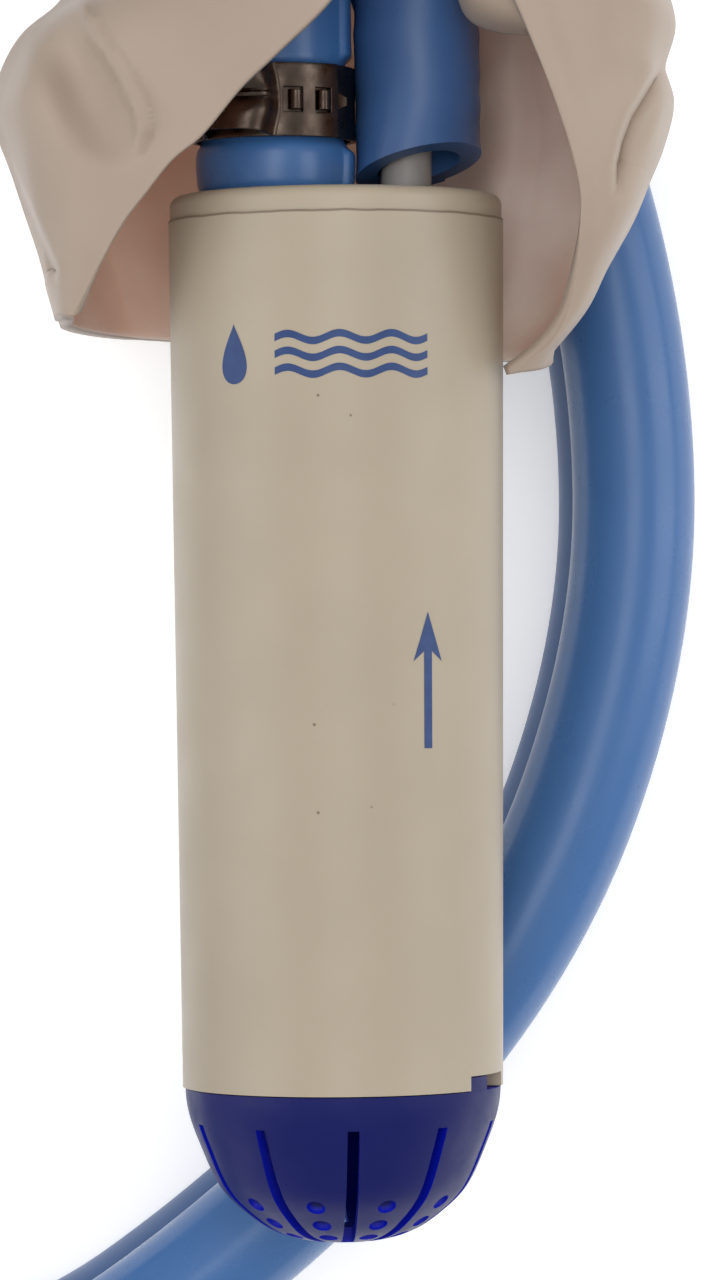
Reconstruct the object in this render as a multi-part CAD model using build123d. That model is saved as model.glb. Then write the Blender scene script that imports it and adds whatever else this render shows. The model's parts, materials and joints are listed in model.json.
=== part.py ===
from build123d import *
import math
import os

# In-line water pump with a bayonet strainer, a twin hose, a soft dust cover and a twin plug.
# Millimetres. The pump lies along +Y with its outlet forward, +Z is up and z = 0 is the surface
# that the hose and the dust cover lie on.

# ---------------------------------------------------------------- driving sizes: pump
AXIS_Z = 50.0               # height of the pump's axis, where it rests on the stacked hose
CAP_Y = 38.4                # face of the cap, where the hoses start
CASING_LENGTH = 105.7
CASING_FOOT_R = 19.6
CASING_TOP_R = 20.5
CASING_WALL = 2.0
CAP_HEIGHT = 3.0            # the part of the cap that stands above the casing
CAP_STEP = 0.2              # the casing's lip is this much prouder than the cap
CAP_ROUND = 1.3
CAP_SPIGOT = 6.7
CAP_SKIRT = 2.0
CAP_PLATE = 1.7             # plate thickness below the lip of the casing

# hose tail on the cap
TAIL_X = -7.5
TAIL_LENGTH = 35.0
TAIL_CREST_R = 6.7
TAIL_ROOT_R = 6.1
TAIL_BORE_R = 4.6
TAIL_BARBS = 4
BARB_PITCH = 7.0

# strainer
DOME_HEIGHT = 18.8
DOME_RIM_R = 19.3
DOME_WALL = 1.8
DOME_RIM_GAP = 0.15         # between the dome and the casing's foot
PIT_R = 1.15
SPIGOT_HEIGHT = 8.0
SPIGOT_WALL = 1.4
SLOT_COUNT = 10
SLOT_WIDTH = 1.5
SLOT_START = 4.2            # below the rim
SLOT_FIRST = 4.0            # degrees from the top line
POLE_DISC_R = 3.2           # unslotted disc at the pole
HOOK_COUNT = 3
HOOK_ANGLE = 17.0
HOOK_W0 = 4.7
HOOK_HEIGHT = 2.6
HOOK_DEPTH = 0.95
LUG_ANGLE = 12.5
LUG_HEIGHT = 1.55
NOTCH_START = 52.0          # degrees from the top line, towards +X
TWIST = 14.0                # degrees from locked to free
TWIST_PLAY = 0.5            # degrees at each end

# motor pod and motor
CHAMBER_HEIGHT = 9.4
CHAMBER_FLOOR = 1.4
CHAMBER_WALL = 1.3
EYE_R = 5.5
POD_R = 15.5
POD_WALL = 1.4
POD_FLOOR = 4.0
POD_LENGTH = 66.0
POD_CAP = 2.5
RIB_WIDTH = 1.6
CAN_WALL = 1.0
CAN_LENGTH = 45.8
CAN_FLOOR = 1.2
END_CAP = 3.0
SCREW_R = 1.2
SCREW_OFFSET = 8.0          # of the motor's two screws from its axis
TERMINAL_OFFSET = 7.0
TERMINAL_WIDTH = 2.8
TERMINAL_THICK = 0.8
MAGNET_THICK = 2.4
MAGNET_LENGTH = 32.0
MAGNET_ANGLE = 120.0
SHAFT_R = 1.6
SHAFT_REACH = 54.5          # from the pod's foot
BEARING_R = 3.2
SEAL_R = 4.0
SEAL_HEIGHT = 2.4
CORE_R = 9.9
CORE_START = 14.0           # from the pod's foot
CORE_LENGTH = 22.0
CORE_SLOTS = 5
COMMUTATOR_R = 3.9
COMMUTATOR_START = 41.0     # from the pod's foot
COMMUTATOR_LENGTH = 7.0
BRUSH_WIDTH = 3.0
BRUSH_LENGTH = 4.0
BRUSH_REACH = 4.3
SPRING_R = 1.0
SPRING_WIRE_R = 0.15
SPRING_TURNS = 5
GUIDE_END_R = 12.0
GUIDE_WALL = 0.6
IMPELLER_R = 14.4
IMPELLER_GAP = 0.7          # over the chamber's floor
VANE_HEIGHT = 4.3
VANE_THICK = 1.1
SHROUD = 1.4
VANES = 6

# hoses and cable
HOSE_R = 7.75
HOSE_BORE_R = 5.1
HOSE_STRETCHED_R = 9.5
STRETCH_TAPER = 8.0
CABLE_R = 3.1
CABLE_X = 8.5
SLEEVE_GAP = 3.2            # from the cap's face to the sleeve's cut end
SLEEVE_CUT = 10.0           # degrees

# hose clamp: a crimped single-ear band
BAND_W0 = 6.6               # from the cap's face
BAND_WIDTH = 8.9
BAND_THICK = 0.6
EAR_WIDTH = 6.4
EAR_HEIGHT = 3.4
EAR_TURN = 18.0             # degrees from the top line, towards -X
HOOK_TURNS = (16.0, 32.0)   # degrees from the top line to the two hook windows
OVERLAP_ANGLE = 60.0        # how far the band's outer end lies over its inner one

# dust cover
COVER_R = 41.0
COVER_WALL = 2.0
COVER_LENGTH = 61.6         # rim to shoulder
COVER_RIM_Y = 17.5
NECK_LENGTH = 10.0
NECK_WALL = 1.8
COVER_TRAVEL = 18.0         # how far the cover can be pulled back over the pump
CHANNEL_X = 17.0            # where the channel over the passing hose begins, beside the casing
CHANNEL_REAR_X = 9.0        # and past the casing, where the hose leans inwards
CHANNEL_Z = 32.4

# plug
PLUG_LENGTH = 42.0
PLUG_WIDTH = 27.0
PLUG_HEIGHT = 33.0
PLUG_WALL = 2.2
PLUG_ROUND = 4.0
LID_THICK = 2.0
SPIGOT_R = 5.0              # of the land in front of the seals
SPIGOT_ROOT_R = 4.6
SPIGOT_BORE_R = 3.2
SPIGOT_OUT = 16.0
SPIGOT_GROOVES = (4.5, 9.0)  # from the plug's nose
GROOVE_WIDTH = 1.8
GROOVE_DEPTH = 0.9
PLUG_PIN_R = 1.6
PIN_SHOULDER_R = 2.2        # fills the pin's hole in the plug
PIN_NECK_R = 1.2
PLUG_ROOT = 9.0             # how far the spigot and the pins reach back from the nose
POST_R = 2.6
PIN_OUT = 13.0
PIN_SPACING = 11.0

# clearances
RUNNING = 0.04              # shaft in a bearing or seal, radial
FIT = 0.10                  # pieces that slide together, radial
GAP = 0.20                  # pieces that only pass each other

# ---------------------------------------------------------------- places worked out from the sizes
CHAMBER_W0 = SPIGOT_HEIGHT + 0.6
CHAMBER_TOP = CHAMBER_W0 + CHAMBER_HEIGHT
IMPELLER_W0 = CHAMBER_W0 + CHAMBER_FLOOR + IMPELLER_GAP
SHAFT_W0 = IMPELLER_W0 - 0.1
SHAFT_W1 = CHAMBER_TOP + SHAFT_REACH
CORE_W0 = CHAMBER_TOP + CORE_START
COMMUTATOR_W0 = CHAMBER_TOP + COMMUTATOR_START
CAP_W = CASING_LENGTH + CAP_HEIGHT
FOOT_Y = CAP_Y - CAP_W
PUMP = Location((0, FOOT_Y, AXIS_Z), (-90, 0, 0))   # local z runs up the pump, local -y is the top
BAND_R = HOSE_STRETCHED_R + 0.02
SLEEVE_X = TAIL_X + BAND_R + BAND_THICK + HOSE_R + 0.08
POD_TOP = CHAMBER_TOP + POD_LENGTH
POD_BORE = POD_R - POD_WALL
CAN_R = POD_BORE - GAP
CAN_W0 = CHAMBER_TOP + POD_FLOOR + 0.2
CAN_TOP = CAN_W0 + CAN_LENGTH
CAN_BORE = CAN_R - CAN_WALL
BRUSH_W0 = COMMUTATOR_W0 + 1 + GUIDE_WALL + FIT
BRUSH_R = COMMUTATOR_R + 0.05
CHANNEL_REAR_Y = CAP_Y + COVER_TRAVEL + COVER_WALL + 0.8
STRETCH_END_Y = CAP_Y + TAIL_LENGTH + STRETCH_TAPER

# ---------------------------------------------------------------- routes, chosen by hand
HOSE_LOW = 23.4             # water hose height where it lies on the sleeve
SLEEVE_LOW = 7.75

HOSE_ROUTE = [
    (TAIL_X, STRETCH_END_Y, AXIS_Z), (-7.5, 122, 50), (-31.5, 157.5, 49.5), (-71, 173.5, 46),
    (-112.5, 164.5, 40), (-145, 132, 33.5), (-168.5, 84, 27.5), (-177, 26, 24.2), (-168.5, -34.5, 23.4),
    (-143, -87, 23.4), (-96, -116, 23.4), (-44.5, -115, 23.4), (-8, -89.6, 23.4), (23, -56, 23.4),
    (37.4, -17, 23.4), (37.6, 20, 23.4), (27.5, 58, 23.4), (18.5, 96, 23.4), (6, 138, 23.4),
    (-24, 186, 23.4), (-78, 206, 23.4), (-132, 199, 23.4), (-178, 166, 23.4), (-203, 116, 23.4),
    (-212, 66, 23.4), (-212, 26, 23.4),
]

SLEEVE_ROUTE = [
    (SLEEVE_X, CAP_Y + SLEEVE_GAP, AXIS_Z), (SLEEVE_X, 84, 49.9), (8.8, 126, 44.5), (-24, 165.5, 36),
    (-71, 174.5, 30.2), (-112, 164.5, 24.2), (-144.4, 132, 17.7), (-167.5, 84, 11.8), (-175.8, 26, 8.4),
    (-167.4, -34, 7.75), (-142.2, -86, 7.75), (-95.6, -114.8, 7.75), (-44.8, -113.8, 7.75),
    (-8.8, -88.6, 7.75), (22, -55.3, 7.75), (36.2, -16.7, 7.75), (36.4, 19.8, 7.75), (26.3, 57.7, 7.75),
    (17.3, 95.7, 7.75), (5, 137.4, 7.75), (-24.8, 185, 7.75), (-78.2, 204.8, 7.75), (-131.5, 197.9, 7.75),
    (-177.1, 165.2, 7.75), (-202.2, 115.7, 7.75), (-212, 65.9, 7.75), (-212, 26, 7.75),
]

CABLE_ROUTE = [(CABLE_X, FOOT_Y + POD_TOP - 5, AXIS_Z), (CABLE_X, CAP_Y + 7, AXIS_Z)] + SLEEVE_ROUTE[1:]

PLUG = Location((-212, 26, 0), (0, 0, 180))     # local +y runs out of the plug's nose, along -Y


# ---------------------------------------------------------------- shared shapes
def turned(points, arc=360.0, start=0.0):
    """A closed outline of (radius, height) points turned about z."""
    face = Plane.XZ * make_face(Polyline(*points, close=True))
    return Rot(0, 0, start) * revolve(face, Axis.Z, arc)


def ring(r_out, r_in, w0, w1, arc=360.0, start=0.0):
    """A tube, or a sector of one, standing on the local z axis."""
    return turned([(r_in, w0), (r_out, w0), (r_out, w1), (r_in, w1)], arc, start)


def rod(r, w0, w1, x=0.0, y=0.0):
    return Pos(x, y, w0) * Cylinder(r, w1 - w0, align=(Align.CENTER, Align.CENTER, Align.MIN))


def block(x0, x1, y0, y1, z0, z1):
    size = (x1 - x0, y1 - y0, z1 - z0)
    return Pos((x0 + x1) / 2, (y0 + y1) / 2, (z0 + z1) / 2) * Box(*size)


def from_top(angle):
    """The local angle of a place that many degrees from the top line, towards +X."""
    return angle - 90.0


def casing_r(w):
    return CASING_FOOT_R + (CASING_TOP_R - CASING_FOOT_R) * w / CASING_LENGTH


def bore_r(w):
    return casing_r(w) - CASING_WALL


def around(count, first=0.0):
    return [first + 360.0 * i / count for i in range(count)]


def corner_radii(points):
    """Each arc is as large as 0.45 of the shorter run beside its corner allows."""
    radii = []
    for a, b, c in zip(points, points[1:], points[2:]):
        run_in, run_out = Vector(*b) - Vector(*a), Vector(*c) - Vector(*b)
        half_turn = math.radians(run_in.get_angle(run_out)) / 2
        radii.append(0.45 * min(run_in.length, run_out.length) / math.tan(half_turn))
    return radii


def tube(name, points, r_out, r_in=0.0):
    """A cord's tube along straight runs joined by tangent arcs."""
    radii = corner_radii(points)
    path = FilletPolyline(*points, radius=radii)
    section = Circle(r_out) - Circle(r_in) if r_in else Circle(r_out)
    solid = sweep(Plane(origin=path @ 0, z_dir=path % 0) * section, path=path)
    expected = math.pi * (r_out**2 - r_in**2) * path.length
    print(f"{name}: length {path.length:.0f} mm, smallest radius {min(radii):.0f} mm,")
    print(f"  volume / section / length {solid.volume / expected:.4f}, radii {[round(r) for r in radii]}")
    return solid


def save(name, shape, place=None):
    os.makedirs("parts", exist_ok=True)
    if place is not None:
        shape = place * shape
    export_step(shape, f"parts/{name}.step")


# ---------------------------------------------------------------- casing, cap and strainer
def outer_casing():
    body = turned([
        (CASING_FOOT_R, 0),
        (CASING_TOP_R, CASING_LENGTH),
        (bore_r(CASING_LENGTH), CASING_LENGTH),
        (bore_r(0), 0),
    ])
    groove_r = bore_r(0) + HOOK_DEPTH + GAP
    groove_top = HOOK_W0 + HOOK_HEIGHT + GAP
    for angle in around(HOOK_COUNT, NOTCH_START - 60):
        locked = from_top(angle) - TWIST_PLAY
        entry = HOOK_ANGLE + 2 * TWIST_PLAY
        body -= ring(groove_r, bore_r(0) - 1, HOOK_W0 - GAP, groove_top, entry + TWIST, locked)
        body -= ring(groove_r, bore_r(0) - 1, -1, HOOK_W0, entry, locked + TWIST)
    notch = LUG_ANGLE + TWIST + 2 * TWIST_PLAY
    body -= ring(CASING_TOP_R + 1, bore_r(0) - 1, -1, LUG_HEIGHT + GAP, notch, from_top(NOTCH_START))
    return body


def hose_tail():
    """Barbed tail with its foot on the cap's face, at local x = 0."""
    first = TAIL_LENGTH - TAIL_BARBS * BARB_PITCH
    outline = [(TAIL_BORE_R, -0.5), (TAIL_ROOT_R, -0.5), (TAIL_ROOT_R, first)]
    for i in range(TAIL_BARBS):
        w = first + i * BARB_PITCH
        outline += [(TAIL_CREST_R, w + 0.3), (TAIL_ROOT_R, w + BARB_PITCH - 0.4)]
        if i < TAIL_BARBS - 1:
            outline += [(TAIL_ROOT_R, w + BARB_PITCH)]
    outline += [(TAIL_ROOT_R - 0.4, TAIL_LENGTH), (TAIL_BORE_R, TAIL_LENGTH)]
    return Pos(TAIL_X, 0, CAP_W) * turned(outline)


def top_cap():
    r = CASING_TOP_R - CAP_STEP
    spigot_r = bore_r(CASING_LENGTH - CAP_SPIGOT) - FIT
    plate = rod(r, CASING_LENGTH, CAP_W)
    plate = fillet(plate.edges().group_by(Axis.Z)[-1], CAP_ROUND)
    plate += rod(spigot_r, CASING_LENGTH - CAP_PLATE, CASING_LENGTH)
    plate += ring(spigot_r, spigot_r - CAP_SKIRT, CASING_LENGTH - CAP_SPIGOT, CASING_LENGTH)
    plate += hose_tail()
    plate -= rod(TAIL_BORE_R, CASING_LENGTH - CAP_SPIGOT, CAP_W + 1, TAIL_X)
    return plate - rod(CABLE_R + 1.4, CASING_LENGTH - CAP_SPIGOT, CAP_W + 1, CABLE_X)


def cable_gland():
    """Rubber grommet in the cap: a body through the plate and a flange on its face."""
    hole = CABLE_R + 0.05
    body = ring(CABLE_R + 1.35, hole, CASING_LENGTH - CAP_PLATE - 0.4, CAP_W)
    flange = ring(CABLE_R + 2.2, hole, CAP_W, CAP_W + 0.9)
    return Pos(CABLE_X, 0, 0) * (body + flange)


def on_dome(r_share, h_share):
    """A place on the strainer's half outline, in shares of the rim's radius and of the height."""
    return (r_share * DOME_RIM_R, -h_share * DOME_HEIGHT)


def dome_outline():
    """Half outline of the strainer's outside, rim to pole."""
    knots = [(1, 0), (0.974, 0.186), (0.896, 0.404), (0.762, 0.676), (0.622, 0.814), (0.482, 0.915)]
    return [on_dome(*knot) for knot in knots + [(0.316, 0.979), (0, 1)]]


def dome(offset):
    """Solid dome, its outside moved inwards by an offset."""
    edge = Spline(*[(r * (1 - offset / DOME_RIM_R), h * (1 - offset / DOME_HEIGHT)) for r, h in dome_outline()])
    face = make_face([edge, Line(edge @ 1, (0, 0)), Line((0, 0), edge @ 0)])
    return revolve(Plane.XZ * face, Axis.Z)


def strainer():
    """Slotted dome with rows of pits, and a spigot whose hooks and lug turn in the casing."""
    shell = Pos(0, 0, -DOME_RIM_GAP) * (dome(0) - dome(DOME_WALL))
    spigot_r = bore_r(0) - GAP
    shell += ring(spigot_r, spigot_r - SPIGOT_WALL, -DOME_RIM_GAP - 1.2, SPIGOT_HEIGHT)
    slot = block(POLE_DISC_R, DOME_RIM_R + 2, -SLOT_WIDTH / 2, SLOT_WIDTH / 2, -DOME_HEIGHT - 1, -SLOT_START)
    shell -= [Rot(0, 0, from_top(a)) * slot for a in around(SLOT_COUNT, SLOT_FIRST)]
    pits = []
    for angle in around(SLOT_COUNT, SLOT_FIRST + 180 / SLOT_COUNT):
        for place in ((0.72, 0.734), (0.57, 0.862), (0.409, 0.957)):
            r, w = on_dome(*place)
            pits.append(Rot(0, 0, from_top(angle)) * Pos(r, 0, w) * Sphere(PIT_R))
    shell -= pits
    hook = ring(bore_r(0) + HOOK_DEPTH, spigot_r - 0.5, HOOK_W0, HOOK_W0 + HOOK_HEIGHT, HOOK_ANGLE)
    for angle in around(HOOK_COUNT, NOTCH_START - 60):
        shell += Rot(0, 0, from_top(angle)) * hook
    lug = ring(CASING_FOOT_R - 0.35, spigot_r - 0.5, -DOME_RIM_GAP - 0.5, LUG_HEIGHT, LUG_ANGLE)
    return shell + Rot(0, 0, from_top(NOTCH_START + TWIST_PLAY)) * lug


# ---------------------------------------------------------------- impeller chamber and motor pod
def impeller_chamber():
    r = bore_r(CHAMBER_W0) - FIT
    body = ring(r, EYE_R, CHAMBER_W0, CHAMBER_W0 + CHAMBER_FLOOR)
    body += ring(r, r - CHAMBER_WALL, CHAMBER_W0, CHAMBER_TOP)
    window = block(0, CASING_TOP_R, -3, 3, IMPELLER_W0 + 0.6, CHAMBER_TOP - 1.5)
    return body - [Rot(0, 0, a) * window for a in around(6)]


def motor_pod():
    floor_top = CHAMBER_TOP + POD_FLOOR
    pod = ring(POD_R, POD_BORE, CHAMBER_TOP, POD_TOP) + rod(POD_R, CHAMBER_TOP, floor_top)
    rib_r = bore_r(CHAMBER_TOP) - FIT
    rib = block(POD_R - 0.5, rib_r, -RIB_WIDTH / 2, RIB_WIDTH / 2, CHAMBER_TOP, POD_TOP - 4)
    for a in around(4, 45):
        pod += Rot(0, 0, a) * rib
    pod -= rod(SEAL_R + 0.02, CHAMBER_TOP - 1, CHAMBER_TOP + SEAL_HEIGHT)
    pod -= rod(SHAFT_R + 0.3, CHAMBER_TOP, floor_top + 1)
    hole = rod(SCREW_R + 0.05, floor_top - 2.8, floor_top + 1)
    return pod - [Pos(0, y, 0) * hole for y in (-SCREW_OFFSET, SCREW_OFFSET)]


def pod_cap():
    groove_w = POD_TOP - 2.6
    cap = rod(POD_R, POD_TOP, POD_TOP + POD_CAP) + rod(POD_BORE - FIT, POD_TOP - 4, POD_TOP)
    cap -= ring(POD_BORE + 1, POD_BORE - 1.3, groove_w, groove_w + 1.7)
    return cap - rod(CABLE_R + 0.05, POD_TOP - 6, POD_TOP + POD_CAP + 1, CABLE_X)


def pod_o_ring():
    return Pos(0, 0, POD_TOP - 2.6 + 0.85) * Torus(POD_BORE - 0.7, 0.58)


def motor_can():
    can = ring(CAN_R, CAN_BORE, CAN_W0, CAN_TOP) + rod(CAN_R, CAN_W0, CAN_W0 + CAN_FLOOR)
    can -= rod(BEARING_R, CAN_W0 - 1, CAN_W0 + CAN_FLOOR + 1)
    hole = rod(SCREW_R + 0.15, CAN_W0 - 1, CAN_W0 + CAN_FLOOR + 1)
    return can - [Pos(0, y, 0) * hole for y in (-SCREW_OFFSET, SCREW_OFFSET)]


def motor_screws():
    seat = CAN_W0 + CAN_FLOOR
    screws = []
    for y in (-SCREW_OFFSET, SCREW_OFFSET):
        screw = rod(SCREW_R, CHAMBER_TOP + POD_FLOOR - 2.6, seat) + rod(SCREW_R + 1, seat, seat + 1.5)
        screws.append(Pos(0, y, 0) * (screw - block(-1.6, 1.6, -0.25, 0.25, seat + 0.8, seat + 2)))
    return Compound(screws)


def field_magnets():
    start = CORE_W0 + CORE_LENGTH / 2 - MAGNET_LENGTH / 2
    outer = CAN_BORE - 0.03
    magnet = ring(outer, outer - MAGNET_THICK, start, start + MAGNET_LENGTH, MAGNET_ANGLE, -MAGNET_ANGLE / 2)
    return Compound([magnet, Rot(0, 0, 180) * magnet])


def bearing(w0, w1):
    return ring(BEARING_R - 0.02, SHAFT_R + RUNNING, w0, w1)


def motor_end_cap():
    """Rear cap of the can: a disc with the rear bearing's seat and two brush guides."""
    disc = rod(CAN_R, CAN_TOP, CAN_TOP + END_CAP)
    half = BRUSH_WIDTH / 2
    low = COMMUTATOR_W0 + 1
    for side in (-1, 1):
        near, far = sorted((side * (COMMUTATOR_R + 0.8), side * (GUIDE_END_R + GUIDE_WALL)))
        guide = block(-half - FIT - GUIDE_WALL, half + FIT + GUIDE_WALL, near, far, low, CAN_TOP)
        near, far = sorted((side * COMMUTATOR_R, side * GUIDE_END_R))
        top = low + GUIDE_WALL + BRUSH_LENGTH + 2 * FIT
        disc += guide - block(-half - FIT, half + FIT, near, far, low + GUIDE_WALL, top)
    disc -= rod(BEARING_R, CAN_TOP - 1, CAN_TOP + END_CAP + 1)
    disc -= rod(BEARING_R + 1, CAN_TOP - 0.6, CAN_TOP)
    return disc - [blade(s, 0.05, CAN_TOP - 1, CAN_TOP + END_CAP + 1) for s in (-1, 1)]


def blade(side, grow, w0, w1):
    """One of the motor's two terminal blades, or the slot it stands in."""
    thick, wide = TERMINAL_THICK / 2 + grow, TERMINAL_WIDTH / 2 + 2 * grow
    return Pos(side * TERMINAL_OFFSET, 0, 0) * block(-thick, thick, -wide, wide, w0, w1)


def motor_terminals():
    return Compound([blade(s, 0, CAN_TOP - 0.5, CAN_TOP + END_CAP + 6) for s in (-1, 1)])


def shaft_seal():
    return ring(SEAL_R, SHAFT_R + RUNNING, CHAMBER_TOP, CHAMBER_TOP + SEAL_HEIGHT)


# ---------------------------------------------------------------- rotor
def motor_shaft():
    return rod(SHAFT_R, SHAFT_W0, SHAFT_W1)


def armature_core():
    core = rod(CORE_R, CORE_W0, CORE_W0 + CORE_LENGTH)
    slot = block(5.0, 9.0, -1.4, 1.4, CORE_W0 - 1, CORE_W0 + CORE_LENGTH + 1)
    slot += block(5.0, CORE_R + 1, -0.6, 0.6, CORE_W0 - 1, CORE_W0 + CORE_LENGTH + 1)
    core -= [Rot(0, 0, a) * slot for a in around(CORE_SLOTS)]
    return core - rod(SHAFT_R, CORE_W0 - 1, CORE_W0 + CORE_LENGTH + 1)


def armature_windings():
    top = CORE_W0 + CORE_LENGTH
    coils = ring(8.9, 4.9, CORE_W0 - 3.4, CORE_W0) + ring(8.9, 4.9, top, top + 3.4)
    bar = block(5.1, 8.8, -1.2, 1.2, CORE_W0 - 1, top + 1)
    for a in around(CORE_SLOTS):
        coils += Rot(0, 0, a) * bar
    return coils


def commutator():
    drum = ring(COMMUTATOR_R, SHAFT_R, COMMUTATOR_W0, COMMUTATOR_W0 + COMMUTATOR_LENGTH)
    ends = (COMMUTATOR_W0 - 1, COMMUTATOR_W0 + COMMUTATOR_LENGTH + 1)
    slit = block(COMMUTATOR_R - 0.7, COMMUTATOR_R + 1, -0.2, 0.2, *ends)
    return drum - [Rot(0, 0, a) * slit for a in around(CORE_SLOTS, 36)]


def impeller():
    top = IMPELLER_W0 + VANE_HEIGHT
    wheel = rod(IMPELLER_R, top, top + SHROUD) + rod(SHAFT_R * 2, IMPELLER_W0, top)
    vane_r = IMPELLER_R * 0.56
    vane = ring(vane_r + VANE_THICK / 2, vane_r - VANE_THICK / 2, 0, VANE_HEIGHT)
    vane = Pos(vane_r - VANE_THICK, 0, IMPELLER_W0) * vane
    vane &= ring(IMPELLER_R - 0.2, SHAFT_R + 1, IMPELLER_W0, top)
    vane &= block(-IMPELLER_R - 1, IMPELLER_R + 1, 0, IMPELLER_R + 1, IMPELLER_W0, top)
    for a in around(VANES):
        wheel += Rot(0, 0, a) * vane
    return wheel - rod(SHAFT_R, IMPELLER_W0 - 1, top + SHROUD + 1)


# ---------------------------------------------------------------- brushes and their springs
def brush(side):
    """side -1 is the upper brush, +1 the lower one."""
    near, far = sorted((side * BRUSH_R, side * (BRUSH_R + BRUSH_REACH)))
    body = block(-BRUSH_WIDTH / 2, BRUSH_WIDTH / 2, near, far, BRUSH_W0, BRUSH_W0 + BRUSH_LENGTH)
    return body - rod(BRUSH_R, BRUSH_W0 - 1, BRUSH_W0 + BRUSH_LENGTH + 1)


def brush_spring(side):
    start = BRUSH_R + BRUSH_REACH + SPRING_WIRE_R + 0.02
    height = GUIDE_END_R - SPRING_WIRE_R - 0.02 - start
    coil = Helix(height / SPRING_TURNS, height, SPRING_R)
    wire = sweep(Plane(origin=coil @ 0, z_dir=coil % 0) * Circle(SPRING_WIRE_R), path=coil)
    middle = BRUSH_W0 + BRUSH_LENGTH / 2
    return Pos(0, side * start, middle) * Rot(side * -90, 0, 0) * wire


# ---------------------------------------------------------------- hose end, clamp
def water_hose():
    """The hose, its first stretch widened by the barbed tail and the taper after it."""
    end = TAIL_LENGTH + STRETCH_TAPER
    outer = [(0, 0), (HOSE_STRETCHED_R - 0.8, 0), (HOSE_STRETCHED_R, 0.8), (HOSE_STRETCHED_R, TAIL_LENGTH)]
    outer += [(HOSE_R, end), (0, end)]
    bore = TAIL_CREST_R + 0.03
    inner = [(0, -1), (bore, -1), (bore, TAIL_LENGTH + 0.5), (HOSE_BORE_R, end), (0, end)]
    collar = PUMP * Pos(TAIL_X, 0, CAP_W) * (turned(outer) - turned(inner))
    hose = tube("water_hose", HOSE_ROUTE, HOSE_R, HOSE_BORE_R)
    return collar + hose


def cable_sleeve():
    sleeve = tube("cable_sleeve", SLEEVE_ROUTE, HOSE_R, HOSE_BORE_R)
    cutter = Pos(SLEEVE_X, CAP_Y + SLEEVE_GAP, AXIS_Z) * Rot(-SLEEVE_CUT, 0, 0)
    return sleeve - cutter * block(-12, 12, -20, math.tan(math.radians(SLEEVE_CUT)) * HOSE_R, -12, 12)


def hose_clamp():
    """Band with a crimped ear, two hook windows and the tail of the overlap."""
    r_in = BAND_R
    r_out = r_in + BAND_THICK
    band = ring(r_out, r_in, 0, BAND_WIDTH)
    band += ring(r_out + BAND_THICK, r_in, 0, BAND_WIDTH, OVERLAP_ANGLE, from_top(-EAR_TURN))
    half = EAR_WIDTH / 2
    ear = block(-half, half, r_in, r_out + EAR_HEIGHT, 0, BAND_WIDTH)
    ear = fillet(ear.edges().filter_by(Axis.Z).group_by(Axis.Y)[-1], 1.4)
    inside = half - BAND_THICK
    hollow = block(-inside, inside, r_in, r_out + EAR_HEIGHT - BAND_THICK, -1, BAND_WIDTH + 1)
    ear = ear - hollow - rod(r_in, -1, BAND_WIDTH + 1)
    band += Rot(0, 0, 180 - EAR_TURN) * ear
    window = Pos(0, 0, BAND_WIDTH / 2) * block(-0.9, 0.9, r_out + 0.1, r_out + 3, -1.3, 1.3)
    hook = Pos(0, 0, BAND_WIDTH / 2) * block(-0.5, 0.5, r_out, r_out + BAND_THICK + 0.3, -1.0, 1.0)
    for turn in HOOK_TURNS:
        band -= Rot(0, 0, 180 + turn) * window
        band += Rot(0, 0, 180 + turn) * hook
    return Pos(TAIL_X, 0, CAP_W + BAND_W0) * band


# ---------------------------------------------------------------- dust cover
def cup(r, rim_y, end_y, round_r):
    """Closed cup about its own axis along +Y, touching the surface, open at the rim."""
    outline = Polyline((0, rim_y), (r, rim_y), (r, end_y), (0, end_y))
    face = make_face([*outline.edges(), Line((0, end_y), (0, rim_y))])
    body = revolve(face, Axis.Y)
    body = fillet(body.edges().group_by(Axis.Y)[-1], round_r)
    return Pos(0, 0, COVER_R) * body


def stadium(r, x0, x1, y0, y1, z):
    """A rounded bar along Y that holds two round holes side by side."""
    shape = block(x0, x1, y0, y1, z - r, z + r)
    for x in (x0, x1):
        shape += Pos(x, y0, z) * Rot(-90, 0, 0) * rod(r, 0, y1 - y0)
    return shape


def hose_channel(grow):
    """Room under the cover for the hose that passes beneath its right side."""
    ends = (COVER_RIM_Y - 5, COVER_RIM_Y + COVER_LENGTH + 5)
    room = block(CHANNEL_X - grow, COVER_R + 5, *ends, -5, CHANNEL_Z + grow)
    rear = block(CHANNEL_REAR_X - grow, COVER_R + 5, CHANNEL_REAR_Y - grow, ends[1], -5, CHANNEL_Z + grow)
    return room + rear


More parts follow.
